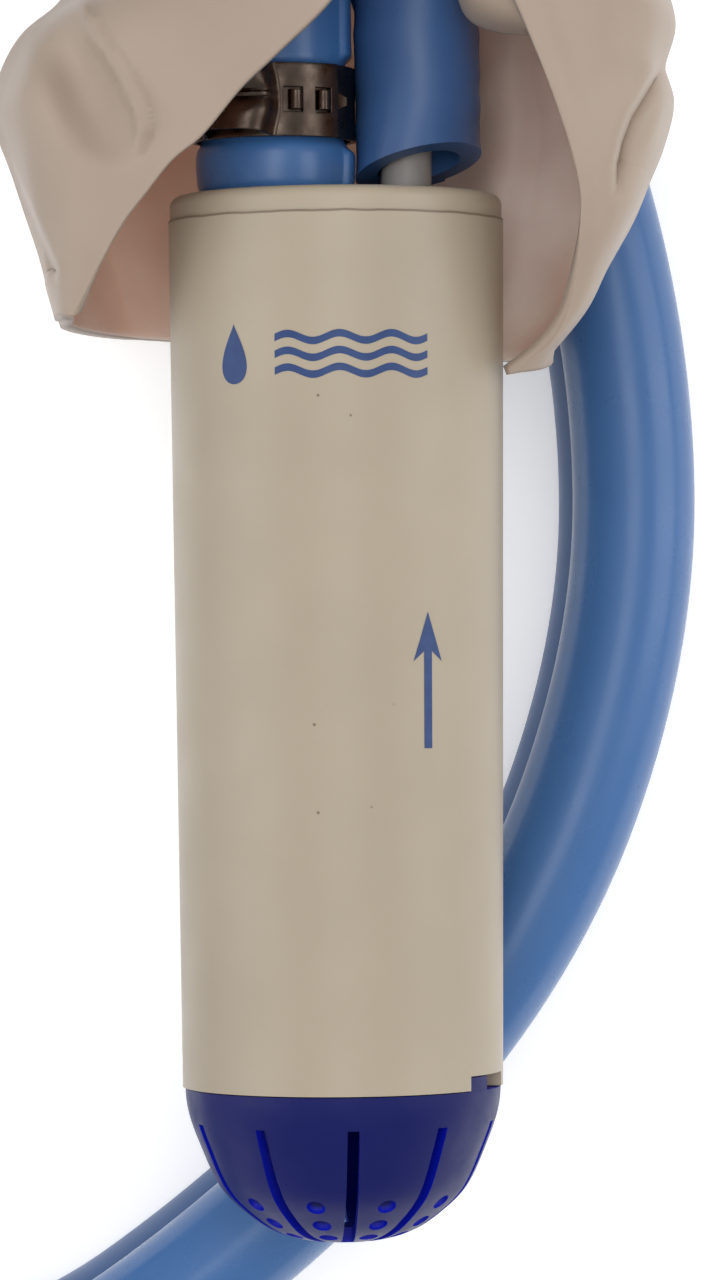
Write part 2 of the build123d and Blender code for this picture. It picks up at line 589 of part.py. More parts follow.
def dust_cover():
    """Soft cup: its mouth faces the strainer, its neck holds both hoses, one side lies over the hose."""
    end = COVER_RIM_Y + COVER_LENGTH
    outer = cup(COVER_R, COVER_RIM_Y, end, 17) - hose_channel(0)
    inner = cup(COVER_R - COVER_WALL, COVER_RIM_Y - 1, end - COVER_WALL, 15) - hose_channel(COVER_WALL)
    hole_r = HOSE_STRETCHED_R + 0.5
    x1 = SLEEVE_X + HOSE_R + 0.5 - hole_r
    neck = stadium(hole_r + NECK_WALL, TAIL_X, x1, end - COVER_WALL, end + NECK_LENGTH, AXIS_Z)
    shell = outer - inner + neck - stadium(hole_r, TAIL_X, x1, end - 8, end + NECK_LENGTH + 1, AXIS_Z)
    rim = COVER_RIM_Y
    arch = Spline((-34.5, rim + 7), (-20, rim + 24), (-3, rim + 44), (8, rim + 51), (20, rim + 44),
                  (26.5, rim + 27), (28, rim + 11), (24, rim + 4))
    mouth = make_face([arch, Polyline(arch @ 1, (24, rim - 9), (-38, rim - 9), (-38, rim + 2), arch @ 0)])
    return shell - Pos(0, 0, COVER_R) * extrude(mouth, COVER_R + 5)


# ---------------------------------------------------------------- plug
def plug_shell():
    """The whole plug's outer shape."""
    half = PLUG_WIDTH / 2
    body = block(-half, half, 0, PLUG_LENGTH, 0, PLUG_HEIGHT)
    return fillet(body.edges().filter_by(Axis.Y), PLUG_ROUND)


def along_plug(shape, z, x=0.0):
    """A shape made about local z, turned to run along the plug at a height."""
    return Pos(x, 0, z) * Rot(-90, 0, 0) * shape


def plug_holes():
    """What passes through the plug's two ends: hose, cable, spigot and pins."""
    root = PLUG_LENGTH - PLUG_ROOT
    holes = [along_plug(rod(HOSE_R + 0.05, -1, PLUG_WALL), HOSE_LOW)]
    holes.append(along_plug(rod(CABLE_R + 0.05, -1, PLUG_WALL + 1), SLEEVE_LOW))
    holes.append(along_plug(rod(SPIGOT_ROOT_R, root - 1, PLUG_LENGTH + 1), HOSE_LOW))
    for s in (-1, 1):
        holes.append(along_plug(rod(PIN_SHOULDER_R, root - 1, PLUG_LENGTH + 1), SLEEVE_LOW, s * PIN_SPACING / 2))
    return holes


def lid_axis():
    """The lid's screw and its post, along local x."""
    return Pos(0, PLUG_LENGTH / 2, PLUG_HEIGHT / 2 - 1) * Rot(0, 90, 0)


def plug_cavity():
    half = PLUG_WIDTH / 2
    ends = (PLUG_WALL + 1, PLUG_LENGTH - PLUG_WALL - 1)
    return block(-half + PLUG_WALL, half + 1, *ends, PLUG_WALL, PLUG_HEIGHT - PLUG_WALL)


def plug_body():
    """Moulded body, open on one side where the lid closes it."""
    half = PLUG_WIDTH / 2
    body = plug_shell() - plug_holes() - plug_cavity()
    body -= block(half - LID_THICK, half + 1, -1, PLUG_LENGTH + 1, -1, PLUG_HEIGHT + 1)
    body += lid_axis() * rod(POST_R, 1 - half, half - LID_THICK)
    return body - lid_axis() * rod(SCREW_R + 0.05, half - LID_THICK - 9, half)


def plug_lid():
    half = PLUG_WIDTH / 2
    lid = plug_shell() & block(half - LID_THICK + 0.05, half + 1, 0, PLUG_LENGTH, 0, PLUG_HEIGHT)
    lid -= lid_axis() * rod(SCREW_R + 0.3, half - LID_THICK - 1, half + 1)
    return lid - lid_axis() * rod(SCREW_R + 1.7, half - 1.1, half + 1)


def plug_screw():
    half = PLUG_WIDTH / 2
    screw = rod(SCREW_R, half - LID_THICK - 8.5, half - 1.1) + rod(SCREW_R + 1.5, half - 1.1, half)
    return lid_axis() * (screw - block(-2, 2, -0.35, 0.35, half - 0.6, half + 1))


def plug_spigot():
    """Water spigot with two grooves; its root is the tail that the hose ends on."""
    tip = PLUG_LENGTH + SPIGOT_OUT
    outline = [(SPIGOT_BORE_R, 3.6), (SPIGOT_ROOT_R, 3.6)]
    for out in SPIGOT_GROOVES:
        w = PLUG_LENGTH + out
        floor_r = SPIGOT_R - GROOVE_DEPTH
        outline += [(SPIGOT_ROOT_R, w), (floor_r, w)]
        outline += [(floor_r, w + GROOVE_WIDTH), (SPIGOT_ROOT_R, w + GROOVE_WIDTH)]
    land = PLUG_LENGTH + SPIGOT_GROOVES[-1] + GROOVE_WIDTH + 0.1
    outline += [(SPIGOT_ROOT_R, land), (SPIGOT_R, land), (SPIGOT_R, tip - 0.8), (SPIGOT_R - 0.8, tip)]
    return along_plug(turned(outline + [(SPIGOT_BORE_R, tip)]), HOSE_LOW)


def plug_o_rings():
    """Two rings that stand proud of the spigot."""
    rings = []
    for out in SPIGOT_GROOVES:
        seal = Pos(0, 0, PLUG_LENGTH + out + GROOVE_WIDTH / 2) * Torus(SPIGOT_R - GROOVE_DEPTH + 0.75, 0.74)
        rings.append(along_plug(seal, HOSE_LOW))
    return Compound(rings)


def plug_pins():
    """Contact pins, each with a neck at the nose and a shoulder that fills its hole."""
    seat, start = PLUG_LENGTH - 0.5, PLUG_LENGTH + 0.2
    pin = rod(PIN_SHOULDER_R, PLUG_LENGTH - PLUG_ROOT, seat) + rod(PIN_NECK_R, seat, start)
    pin += rod(PLUG_PIN_R, start, PLUG_LENGTH + PIN_OUT)
    return Compound([along_plug(pin, SLEEVE_LOW, s * PIN_SPACING / 2) for s in (-1, 1)])


def main():
    save("outer_casing", outer_casing(), PUMP)
    save("top_cap", top_cap(), PUMP)
    save("cable_gland", cable_gland(), PUMP)
    save("strainer", strainer(), PUMP)
    save("impeller_chamber", impeller_chamber(), PUMP)
    save("motor_pod", motor_pod(), PUMP)
    save("pod_cap", pod_cap(), PUMP)
    save("pod_o_ring", pod_o_ring(), PUMP)
    save("motor_can", motor_can(), PUMP)
    save("motor_screws", motor_screws(), PUMP)
    save("field_magnets", field_magnets(), PUMP)
    save("front_bearing", bearing(CAN_W0, CAN_W0 + 4), PUMP)
    save("rear_bearing", bearing(CAN_TOP, CAN_TOP + END_CAP), PUMP)
    save("motor_end_cap", motor_end_cap(), PUMP)
    save("motor_terminals", motor_terminals(), PUMP)
    save("shaft_seal", shaft_seal(), PUMP)
    save("motor_shaft", motor_shaft(), PUMP)
    save("armature_core", armature_core(), PUMP)
    save("armature_windings", armature_windings(), PUMP)
    save("commutator", commutator(), PUMP)
    save("impeller", impeller(), PUMP)
    for name, side in (("upper", -1), ("lower", 1)):
        save(f"brush_{name}", brush(side), PUMP)
        save(f"brush_spring_{name}", brush_spring(side), PUMP)
    save("hose_clamp", hose_clamp(), PUMP)
    save("water_hose", water_hose())
    save("cable_sleeve", cable_sleeve())
    save("power_cable", tube("power_cable", CABLE_ROUTE, CABLE_R))
    save("dust_cover", dust_cover())
    save("plug_body", plug_body(), PLUG)
    save("plug_lid", plug_lid(), PLUG)
    save("plug_screw", plug_screw(), PLUG)
    save("plug_spigot", plug_spigot(), PLUG)
    save("plug_o_rings", plug_o_rings(), PLUG)
    save("plug_pins", plug_pins(), PLUG)


main()
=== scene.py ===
import json
import math

import bmesh
import bpy
from mathutils import Matrix, Vector


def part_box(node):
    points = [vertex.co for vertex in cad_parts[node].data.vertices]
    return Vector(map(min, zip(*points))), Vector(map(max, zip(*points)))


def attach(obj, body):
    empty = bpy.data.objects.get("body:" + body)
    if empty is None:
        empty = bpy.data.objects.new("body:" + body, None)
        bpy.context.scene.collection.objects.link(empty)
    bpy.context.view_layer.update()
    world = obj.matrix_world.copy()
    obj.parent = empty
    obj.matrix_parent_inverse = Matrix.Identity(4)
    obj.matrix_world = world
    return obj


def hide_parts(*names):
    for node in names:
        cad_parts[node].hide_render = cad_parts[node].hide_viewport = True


bl_info = {
    "name": "In-line water pump with twin hose",
    "version": (1, 0, 0),
    "blender": (4, 5, 0),
    "location": "3D View > Sidebar > Pump",
    "description": "Hoses, soft dust cover, casing print, finishes and stage for a small in-line pump",
    "category": "Object",
}

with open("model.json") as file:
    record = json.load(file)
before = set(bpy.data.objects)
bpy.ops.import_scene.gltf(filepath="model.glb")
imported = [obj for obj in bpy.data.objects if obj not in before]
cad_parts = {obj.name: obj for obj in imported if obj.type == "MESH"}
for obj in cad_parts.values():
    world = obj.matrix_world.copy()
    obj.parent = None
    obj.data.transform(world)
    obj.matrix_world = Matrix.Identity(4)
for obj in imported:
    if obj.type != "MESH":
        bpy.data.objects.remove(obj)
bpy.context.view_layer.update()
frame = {"nodes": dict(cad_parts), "record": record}
MM = 0.001

# Places read from the frame, in metres.
casing_low, casing_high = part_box("outer_casing")
clamp_low, clamp_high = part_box("hose_clamp")
PUMP_X = (casing_low.x + casing_high.x) / 2
PUMP_Z = (casing_low.z + casing_high.z) / 2
FOOT_Y, LIP_Y = casing_low.y, casing_high.y
LIP_R = (casing_high.x - casing_low.x) / 2
FOOT_R = 19.6 * MM          # the casing narrows towards its foot
TAIL_X = -7.5 * MM          # the outlet's axis, beside the pump's
TAIL_END_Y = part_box("top_cap")[1].y
CAP_Y = TAIL_END_Y - 35 * MM
BAND_Y0, BAND_Y1 = clamp_low.y, clamp_high.y
BAND_MIDDLE = (BAND_Y0 + BAND_Y1) / 2
BAND_HALF = (BAND_Y1 - BAND_Y0) / 2

# Routes listed in millimetres, the same as the model's own but for the sleeve's leaning end.
HOSE_ROUTE = [
    (-7.5, 81.4, 50), (-7.5, 122, 50), (-31.5, 157.5, 49.5), (-71, 173.5, 46), (-112.5, 164.5, 40),
    (-145, 132, 33.5), (-168.5, 84, 27.5), (-177, 26, 24.2), (-168.5, -34.5, 23.4), (-143, -87, 23.4),
    (-96, -116, 23.4), (-44.5, -115, 23.4), (-8, -89.6, 23.4), (23, -56, 23.4), (37.4, -17, 23.4),
    (37.6, 20, 23.4), (27.5, 58, 23.4), (18.5, 96, 23.4), (6, 138, 23.4), (-24, 186, 23.4), (-78, 206, 23.4),
    (-132, 199, 23.4), (-178, 166, 23.4), (-203, 116, 23.4), (-212, 66, 23.4), (-212, 26, 23.4),
]
SLEEVE_ROUTE = [
    (10.2, 41.6, 50), (9.9, 84, 49.9), (8.8, 126, 44.5), (-24, 165.5, 36), (-71, 174.5, 30.2),
    (-112, 164.5, 24.2), (-144.4, 132, 17.7), (-167.5, 84, 11.8), (-175.8, 26, 8.4), (-167.4, -34, 7.75),
    (-142.2, -86, 7.75), (-95.6, -114.8, 7.75), (-44.8, -113.8, 7.75), (-8.8, -88.6, 7.75), (22, -55.3, 7.75),
    (36.2, -16.7, 7.75), (36.4, 19.8, 7.75), (26.3, 57.7, 7.75), (17.3, 95.7, 7.75), (5, 137.4, 7.75),
    (-24.8, 185, 7.75), (-78.2, 204.8, 7.75), (-131.5, 197.9, 7.75), (-177.1, 165.2, 7.75),
    (-202.2, 115.7, 7.75), (-212, 65.9, 7.75), (-212, 26, 7.75),
]
CABLE_ROUTE = [(8.5, 8.7, 50), (8.5, 45.4, 50)] + SLEEVE_ROUTE[1:]

# Outlines of the soft cover seen from above, in millimetres: (y, x) of each edge, neck to rim.
COVER_NECK_Y = 89
COVER_LEFT_SIDE = [
    (79, -21), (74, -27), (68, -29.5), (62, -31.8), (58, -36.6), (53.5, -39.4), (49, -40.6), (43, -39.2),
    (37.5, -37.7), (32, -36.1), (27.5, -35), (22, -33.4),
]
COVER_LEFT_RIM = [
    (79, -1), (74, 4), (66, 3.5), (59.6, -0.6), (53, -7.4), (49.7, -10.9), (44, -15.8), (41.3, -19.2),
    (37.5, -22.4), (34, -25.2), (29, -28.2), (23.6, -31),
]
COVER_RIGHT_SIDE = [
    (79, 21), (74, 30), (68, 38), (62, 40.2), (58.5, 40.9), (53.7, 39.8), (49.5, 40.9), (44.2, 39.7),
    (40.3, 38.1), (35, 35.8), (29.5, 32.7), (24.6, 30.2), (19.5, 26),
]
COVER_RIGHT_RIM = [
    (79, 1), (74, 8), (66, 18.5), (60, 21.4), (52.3, 24.6), (47, 26.6), (41.6, 28.3), (37, 29.2),
    (32.3, 29), (26.9, 28.2), (22.8, 27), (19.7, 24.8), (16.5, 20.3),
]
# Its creases: a line, how far it stands up and how wide, and how far the side on its left sinks.
COVER_CREASES = [
    ([(-29.7, 61.5), (-28, 56.7), (-25.8, 53.1), (-23.8, 49.5), (-22.7, 47.1), (-22.4, 44.7), (-23, 42)],
     1.5, 0.6, 0),
    ([(-33.0, 27.2), (-32.7, 28.8), (-33.8, 31.8), (-35.3, 35.2), (-37.1, 39.1), (-38.6, 42.6), (-41, 46)],
     0.6, 0.5, 6),
    ([(41, 57), (38.1, 52.8), (36.4, 49.9), (34.4, 46.6), (33.3, 43.6), (32.7, 40.5), (32.5, 36.5)],
     0.6, 0.5, 5),
    ([(24, 62), (25.5, 55), (27.5, 49), (29.3, 43), (30.2, 37), (30, 31), (28.5, 25)],
     0.5, 1.2, 0),
]
# Its dents: centre, half sizes across and along, turn in degrees, depth.
COVER_DENTS = [
    (-29.6, 50.6, 5.4, 11.5, 24, 4.5),
    (36.5, 46.5, 1.8, 7, -25, 1.0),
    (-12, 66, 9, 5, 0, 1.5),
]

TUBE_WEB, STRETCHED_WEB = 7, 26         # half widths of the web's ridge, in degrees round the tube
CLAMP_WINDOWS = [(7.5, 20.5), (29.5, 42)]       # degrees from the clamp's top line
CLAMP_HOOKS = [16, 37]
FLOOR_Z = -0.2 * MM


# ---------------------------------------------------------------- colour and nodes
def linear(hex_code, alpha=1.0):
    """An sRGB hex value as linear colour."""
    channels = [int(hex_code[i:i + 2], 16) / 255 for i in (1, 3, 5)]
    return [c / 12.92 if c <= 0.04045 else ((c + 0.055) / 1.055) ** 2.4 for c in channels] + [alpha]


def add(tree, kind, links=None, **settings):
    """A node with its settings: names of sockets take values, other names are attributes."""
    made = tree.nodes.new(kind)
    for key, value in settings.items():
        socket = key.replace("_", " ")
        match = [s for s in made.inputs if s.name.lower() == socket.lower()]
        if hasattr(made, key):
            setattr(made, key, value)
        elif match:
            match[0].default_value = value
        else:
            raise ValueError(f"{kind} has no {key}")
    for key, source in (links or {}).items():
        tree.links.new(source, made.inputs[key])
    return made


def new_material(name, colour, roughness, metallic=0.0, ior=1.5, **more):
    """A Principled material; returns it with its tree and shader."""
    made = bpy.data.materials.new(name)
    made.use_nodes = True
    tree = made.node_tree
    shader = tree.nodes["Principled BSDF"]
    shader.inputs["Base Color"].default_value = linear(colour)
    shader.inputs["Roughness"].default_value = roughness
    shader.inputs["Metallic"].default_value = metallic
    if not metallic:
        shader.inputs["IOR"].default_value = ior
    for key, value in more.items():
        shader.inputs[key.replace("_", " ")].default_value = value
    return made, tree, shader


def place_of(tree):
    """Where the surface is, in metres, for patterns with a real size."""
    return add(tree, "ShaderNodeTexCoord").outputs["Object"]


def mottle(tree, shader, colour, other, size_mm, contrast=0.5):
    """Two linear colours of one material that drift into each other over size_mm."""
    cloud = add(tree, "ShaderNodeTexNoise", {"Vector": place_of(tree)}, Scale=1 / (size_mm * MM), Detail=3.0)
    ramp = add(tree, "ShaderNodeValToRGB", {"Fac": cloud.outputs["Fac"]})
    ramp.color_ramp.elements[0].position = 0.5 - contrast / 2
    ramp.color_ramp.elements[1].position = 0.5 + contrast / 2
    ramp.color_ramp.elements[0].color = colour
    ramp.color_ramp.elements[1].color = other
    tree.links.new(ramp.outputs["Color"], shader.inputs["Base Color"])
    return ramp


def grain(tree, shader, size_mm, depth_mm, strength=0.3, stretch=(1, 1, 1)):
    """Surface relief of a real grain size and depth."""
    spread = add(tree, "ShaderNodeMapping", {"Vector": place_of(tree)}, Scale=stretch)
    fine = add(tree, "ShaderNodeTexNoise", {"Vector": spread.outputs["Vector"]}, Scale=1 / (size_mm * MM),
               Detail=2.0)
    bump = add(tree, "ShaderNodeBump", {"Height": fine.outputs["Fac"]}, Strength=strength,
               Distance=depth_mm * MM)
    tree.links.new(bump.outputs["Normal"], shader.inputs["Normal"])


def uneven_gloss(tree, shader, low, high, size_mm):
    """Roughness that drifts between two values over size_mm, from handling and moulding."""
    cloud = add(tree, "ShaderNodeTexNoise", {"Vector": place_of(tree)}, Scale=1 / (size_mm * MM), Detail=4.0)
    spread = add(tree, "ShaderNodeMapRange", {"Value": cloud.outputs["Fac"]}, From_Min=0.3, From_Max=0.7,
                 To_Min=low, To_Max=high)
    tree.links.new(spread.outputs["Result"], shader.inputs["Roughness"])


# ---------------------------------------------------------------- materials
def casing_abs(colours):
    """Injection-moulded ABS, polished mould: an even warm cream with a soft gloss and a few dark specks."""
    made, tree, shader = new_material("casing_abs_moulded", "#C2B299", 0.4, ior=1.46, Subsurface_Weight=0.05,
                                      Subsurface_Scale=1.5 * MM)
    ramp = mottle(tree, shader, colours.casing_dark, colours.casing_light, 26)
    # From here to the seam mix: a thin wavy line just under the lip is darkened, painted shade from the cap's
    # edge.
    edge = add(tree, "ShaderNodeSeparateXYZ", {"Vector": place_of(tree)})
    from_lip = add(tree, "ShaderNodeMath", {0: edge.outputs["Y"]}, operation="SUBTRACT")
    from_lip.inputs[1].default_value = LIP_Y
    wave = add(tree, "ShaderNodeTexNoise", {"Vector": place_of(tree)}, Scale=1 / (5 * MM), Detail=2.0)
    drift = add(tree, "ShaderNodeMath", {0: wave.outputs["Fac"]}, operation="MULTIPLY_ADD")
    drift.inputs[1].default_value = 0.35 * MM
    drift.inputs[2].default_value = -0.3 * MM
    off_line = add(tree, "ShaderNodeMath", {0: from_lip.outputs[0], 1: drift.outputs[0]},
                   operation="SUBTRACT")
    near = add(tree, "ShaderNodeMath", {0: off_line.outputs[0]}, operation="ABSOLUTE")
    lip_shade = add(tree, "ShaderNodeMapRange", {"Value": near.outputs[0]}, From_Min=0.07 * MM, From_Max=0.2 * MM,
                To_Min=0.75, To_Max=0.0)
    specks = add(tree, "ShaderNodeTexVoronoi", {"Vector": place_of(tree)}, Scale=1 / (7 * MM))
    dots = add(tree, "ShaderNodeMapRange", {"Value": specks.outputs["Distance"]}, From_Min=0.02,
               From_Max=0.035, To_Min=1.0, To_Max=0.0)
    dirt = add(tree, "ShaderNodeMix", {"Factor": dots.outputs["Result"]}, data_type="RGBA")
    tree.links.new(ramp.outputs["Color"], dirt.inputs[6])
    dirt.inputs[7].default_value = linear("#6E6252")
    seam = add(tree, "ShaderNodeMix", {"Factor": lip_shade.outputs["Result"]}, data_type="RGBA")
    tree.links.new(dirt.outputs[2], seam.inputs[6])
    seam.inputs[7].default_value = linear("#5A4A3A")       # painted shade: a dark line along the joint between cap and casing, where the lip's edge shades it
    tree.links.new(seam.outputs[2], shader.inputs["Base Color"])
    uneven_gloss(tree, shader, 0.36, 0.5, 12)
    grain(tree, shader, 1.2, 0.02, 0.12)
    return made


def cover_rubber(colours):
    """Moulded thermoplastic rubber: matt, slightly waxy, light passes a little way in."""
    made, tree, shader = new_material("cover_rubber_moulded", "#A09082", 0.5, ior=1.45,
                                      Subsurface_Weight=0.12, Subsurface_Scale=1.2 * MM,
                                      Subsurface_Radius=(1.0, 0.6, 0.45), Sheen_Weight=0.1,
                                      Sheen_Roughness=0.4)
    mottle(tree, shader, colours.cover_dark, colours.cover_light, 18)
    uneven_gloss(tree, shader, 0.45, 0.62, 9)
    grain(tree, shader, 0.7, 0.03, 0.15)
    return made


def cover_inside_painted_lit(colours):
    """The same rubber inside the cup, where light comes through the wall and glows warm; its colours are
    painted light, a paler, pinker copy of the outside's rubber for that glow.
    """
    made, tree, shader = new_material("cover_rubber_painted_lit_inside", "#D2C2BA", 0.5, ior=1.45, Subsurface_Weight=0.7,
                                      Subsurface_Scale=5 * MM, Subsurface_Radius=(1.0, 0.75, 0.65))
    mottle(tree, shader, colours.inside_painted_lit_dark, colours.inside_painted_lit_light, 10, 0.7)
    grain(tree, shader, 0.9, 0.03, 0.15)
    return made


def hose_pvc(colours):
    """Extruded plasticised PVC: a clean mid blue with a wet gloss and a faintly uneven skin."""
    made, tree, shader = new_material("hose_pvc_extruded", "#436C9F", 0.24, ior=1.5, Subsurface_Weight=0.15,
                                      Subsurface_Scale=2 * MM, Subsurface_Radius=(0.3, 0.6, 1.0))
    mottle(tree, shader, colours.hose_dark, colours.hose_light, 30, 0.6)
    uneven_gloss(tree, shader, 0.24, 0.34, 10)
    grain(tree, shader, 2.0, 0.02, 0.08)
    return made


def pvc_sleeve_shaded(colours):
    """The same extrusion as the hose, rubbed duller and matt by handling; its deeper blue is painted shade, a
    darker copy of the hose's blue for the cover's shade on the sleeve.
    """
    made, tree, shader = new_material("pvc_sleeve_shaded_extruded", "#355786", 0.36, ior=1.5, Subsurface_Weight=0.12,
                                      Subsurface_Scale=2 * MM, Subsurface_Radius=(0.3, 0.6, 1.0))
    mottle(tree, shader, colours.sleeve_shade_dark, colours.sleeve_shade_light, 30, 0.6)
    uneven_gloss(tree, shader, 0.32, 0.44, 10)
    grain(tree, shader, 2.0, 0.02, 0.08)
    return made


def strainer_pp(colours):
    """Moulded navy polypropylene, spark-eroded mould: a fine satin grain; the slots' walls, which face
    sideways, are painted a brighter blue, painted light on one navy plastic.
    """
    made, tree, shader = new_material("strainer_pp_moulded", "#161D66", 0.45, ior=1.3, Subsurface_Weight=0.1,
                                      Subsurface_Scale=1.5 * MM, Subsurface_Radius=(0.1, 0.2, 1.0))
    centre = add(tree, "ShaderNodeCombineXYZ", X=PUMP_X, Y=FOOT_Y, Z=PUMP_Z)
    away = add(tree, "ShaderNodeVectorMath", {0: place_of(tree), 1: centre.outputs["Vector"]},
               operation="SUBTRACT")
    outward = add(tree, "ShaderNodeVectorMath", {0: away.outputs["Vector"]}, operation="NORMALIZE")
    surface = add(tree, "ShaderNodeNewGeometry")
    facing = add(tree, "ShaderNodeVectorMath", {0: outward.outputs["Vector"], 1: surface.outputs["Normal"]},
                 operation="DOT_PRODUCT")
    # painted light: faces turned away from the strainer's outward direction, the slots' walls, get a brighter
    # blue than the skin
    skin = add(tree, "ShaderNodeMapRange", {"Value": facing.outputs["Value"]}, From_Min=0.45, From_Max=0.8)
    painted_wall_light = add(tree, "ShaderNodeMix", {"Factor": skin.outputs["Result"]}, data_type="RGBA")
    painted_wall_light.inputs[6].default_value = colours.strainer_lit_walls
    painted_wall_light.inputs[7].default_value = colours.strainer_skin
    tree.links.new(painted_wall_light.outputs[2], shader.inputs["Base Color"])
    uneven_gloss(tree, shader, 0.36, 0.5, 3)
    grain(tree, shader, 0.35, 0.03, 0.35)      # drawn twice as coarse as the real grain, so that it shows
    return made


def clamp_stainless(colours):
    """Rolled stainless strip, tumbled: a brownish sheen with rubbed lines along the band."""
    made, tree, shader = new_material("clamp_stainless_rolled", "#4F453E", 0.4, metallic=1.0)
    mottle(tree, shader, colours.clamp_dark, colours.clamp_light, 2.5, 0.6)
    uneven_gloss(tree, shader, 0.22, 0.42, 1.5)
    grain(tree, shader, 0.5, 0.02, 0.3, (1, 6, 1))
    return made


def cable_pvc(colours):
    """Extruded light grey PVC jacket: satin."""
    made, tree, shader = new_material("cable_pvc_extruded", "#8E8A87", 0.45, ior=1.45)
    mottle(tree, shader, colours.cable_dark, colours.cable_light, 6, 0.6)
    grain(tree, shader, 0.8, 0.02, 0.15)
    return made


def print_ink(colours):
    """Pad-printed navy ink: thin, satin and a little uneven."""
    made, tree, shader = new_material("pad_print_ink", "#233A6B", 0.45, ior=1.4)
    mottle(tree, shader, colours.ink_dark, colours.ink_light, 1.5, 0.6)
    return made


def plain(name, colour, other, roughness, size_mm, metallic=0.0, ior=1.5):
    """A finish for an inner part, named for its metal or plastic and its making: two close shades and a
    fine grain, drawn at 0.6 mm so that it shows."""
    made, tree, shader = new_material(name, colour, roughness, metallic=metallic, ior=ior)
    mottle(tree, shader, linear(colour), linear(other), size_mm, 0.6)
    uneven_gloss(tree, shader, roughness * 0.85, roughness * 1.2, size_mm)
    grain(tree, shader, 0.6, 0.02, 0.2)
    return made


def inner_finishes():
    """Finishes of the parts inside the casing and of the plug, by the record's material slot."""
    return {
        "grommet_rubber": plain("grommet_nitrile_moulded", "#1B1B1B", "#242424", 0.6, 3),
        "inner_plastic": plain("acetal_natural_moulded", "#C9C6BC", "#D3D0C7", 0.4, 8, ior=1.48),
        "impeller_plastic": plain("acetal_white_moulded", "#DAD8D2", "#E4E2DD", 0.35, 5, ior=1.48),
        "motor_steel": plain("steel_zinc_plated", "#A9ABAC", "#BDBFC0", 0.32, 4, metallic=1.0),
        "shaft_steel": plain("stainless_ground", "#B9BABA", "#C8C9C9", 0.2, 2, metallic=1.0),
        "magnet_ferrite": plain("ferrite_sintered", "#2D2D30", "#38383B", 0.6, 2),
        "core_steel": plain("lamination_steel_stamped", "#7A7A7C", "#8C8C8E", 0.4, 1, metallic=1.0),
        "bearing_bronze": plain("bronze_sintered", "#A9793F", "#B98A50", 0.45, 1, metallic=1.0),
        "copper": plain("copper_drawn", "#B5673F", "#C57B52", 0.3, 1.5, metallic=1.0),
        "brass": plain("brass_turned", "#C3A257", "#D0B168", 0.25, 3, metallic=1.0),
        "carbon": plain("carbon_pressed", "#1E1E1F", "#29292A", 0.6, 1),
        "spring_steel": plain("spring_wire_drawn", "#9EA0A1", "#B0B2B3", 0.3, 1, metallic=1.0),
        "plug_plastic": plain("nylon_black_moulded", "#1A1A1C", "#222225", 0.45, 6, ior=1.53),
    }


def studio_floor():
    """Matt white paper, lit from behind a little, so that shadows on it stay pale."""
    made, tree, shader = new_material("floor_paper_matt", "#F6F6F6", 0.9, ior=1.3,
                                      Emission_Color=linear("#FFFFFF"), Emission_Strength=0.33)
    mottle(tree, shader, linear("#F4F4F4"), linear("#F8F8F8"), 300, 0.6)
    return made


# ---------------------------------------------------------------- mesh helpers
def link(made):
    """Puts a new object in the scene."""
    bpy.context.scene.collection.objects.link(made)
    return made


def mesh_piece(name, points, faces, finish, body):
    """A smooth mesh in the frame's metres that rides on a body."""
    mesh = bpy.data.meshes.new(name)
    mesh.from_pydata([tuple(p) for p in points], [], faces)
    mesh.validate()
    mesh.polygons.foreach_set("use_smooth", [True] * len(mesh.polygons))
    made = link(bpy.data.objects.new(name, mesh))
    fresh = bmesh.new()
    fresh.from_mesh(mesh)
    bmesh.ops.recalc_face_normals(fresh, faces=fresh.faces)
    fresh.to_mesh(mesh)
    fresh.free()
    mesh.materials.append(finish)
    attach(made, body)
    return made


def apply_modifiers(piece):
    """Turns what the modifiers show into the piece's own mesh."""
    graph = bpy.context.evaluated_depsgraph_get()
    applied = bpy.data.meshes.new_from_object(piece.evaluated_get(graph))
    piece.modifiers.clear()
    piece.data = applied


def sharp_edges(piece, degrees):
    """Edges that turn more than this stay crisp."""
    fresh = bmesh.new()
    fresh.from_mesh(piece.data)
    for edge in fresh.edges:
        edge.smooth = not (edge.is_manifold and edge.calc_face_angle(0) > math.radians(degrees))
    fresh.to_mesh(piece.data)
    fresh.free()


def rings_to_faces(rows, columns, closed=True):
    """Quads between equal rings of points."""
    faces = []
    for i in range(rows - 1):
        for j in range(columns if closed else columns - 1):
            k = (j + 1) % columns
            faces.append((i * columns + j, i * columns + k, (i + 1) * columns + k, (i + 1) * columns + j))
    return faces


def between(knots, at):
    """Smooth value at a place from (place, value) knots, in either order: Catmull-Rom between them."""
    knots = sorted(knots)
    if at <= knots[0][0]:
        return knots[0][1]
    if at >= knots[-1][0]:
        return knots[-1][1]
    i = max(k for k in range(len(knots) - 1) if knots[k][0] <= at)
    (p1, v1), (p2, v2) = knots[i], knots[i + 1]
    p0, v0 = knots[i - 1] if i > 0 else (2 * p1 - p2, 2 * v1 - v2)
    p3, v3 = knots[i + 2] if i + 2 < len(knots) else (2 * p2 - p1, 2 * v2 - v1)
    t = (at - p1) / (p2 - p1)
    m1 = (v2 - v0) / (p2 - p0) * (p2 - p1)
    m2 = (v3 - v1) / (p3 - p1) * (p2 - p1)
    return ((2 * t**3 - 3 * t**2 + 1) * v1 + (t**3 - 2 * t**2 + t) * m1 + (3 * t**2 - 2 * t**3) * v2
            + (t**3 - t**2) * m2)


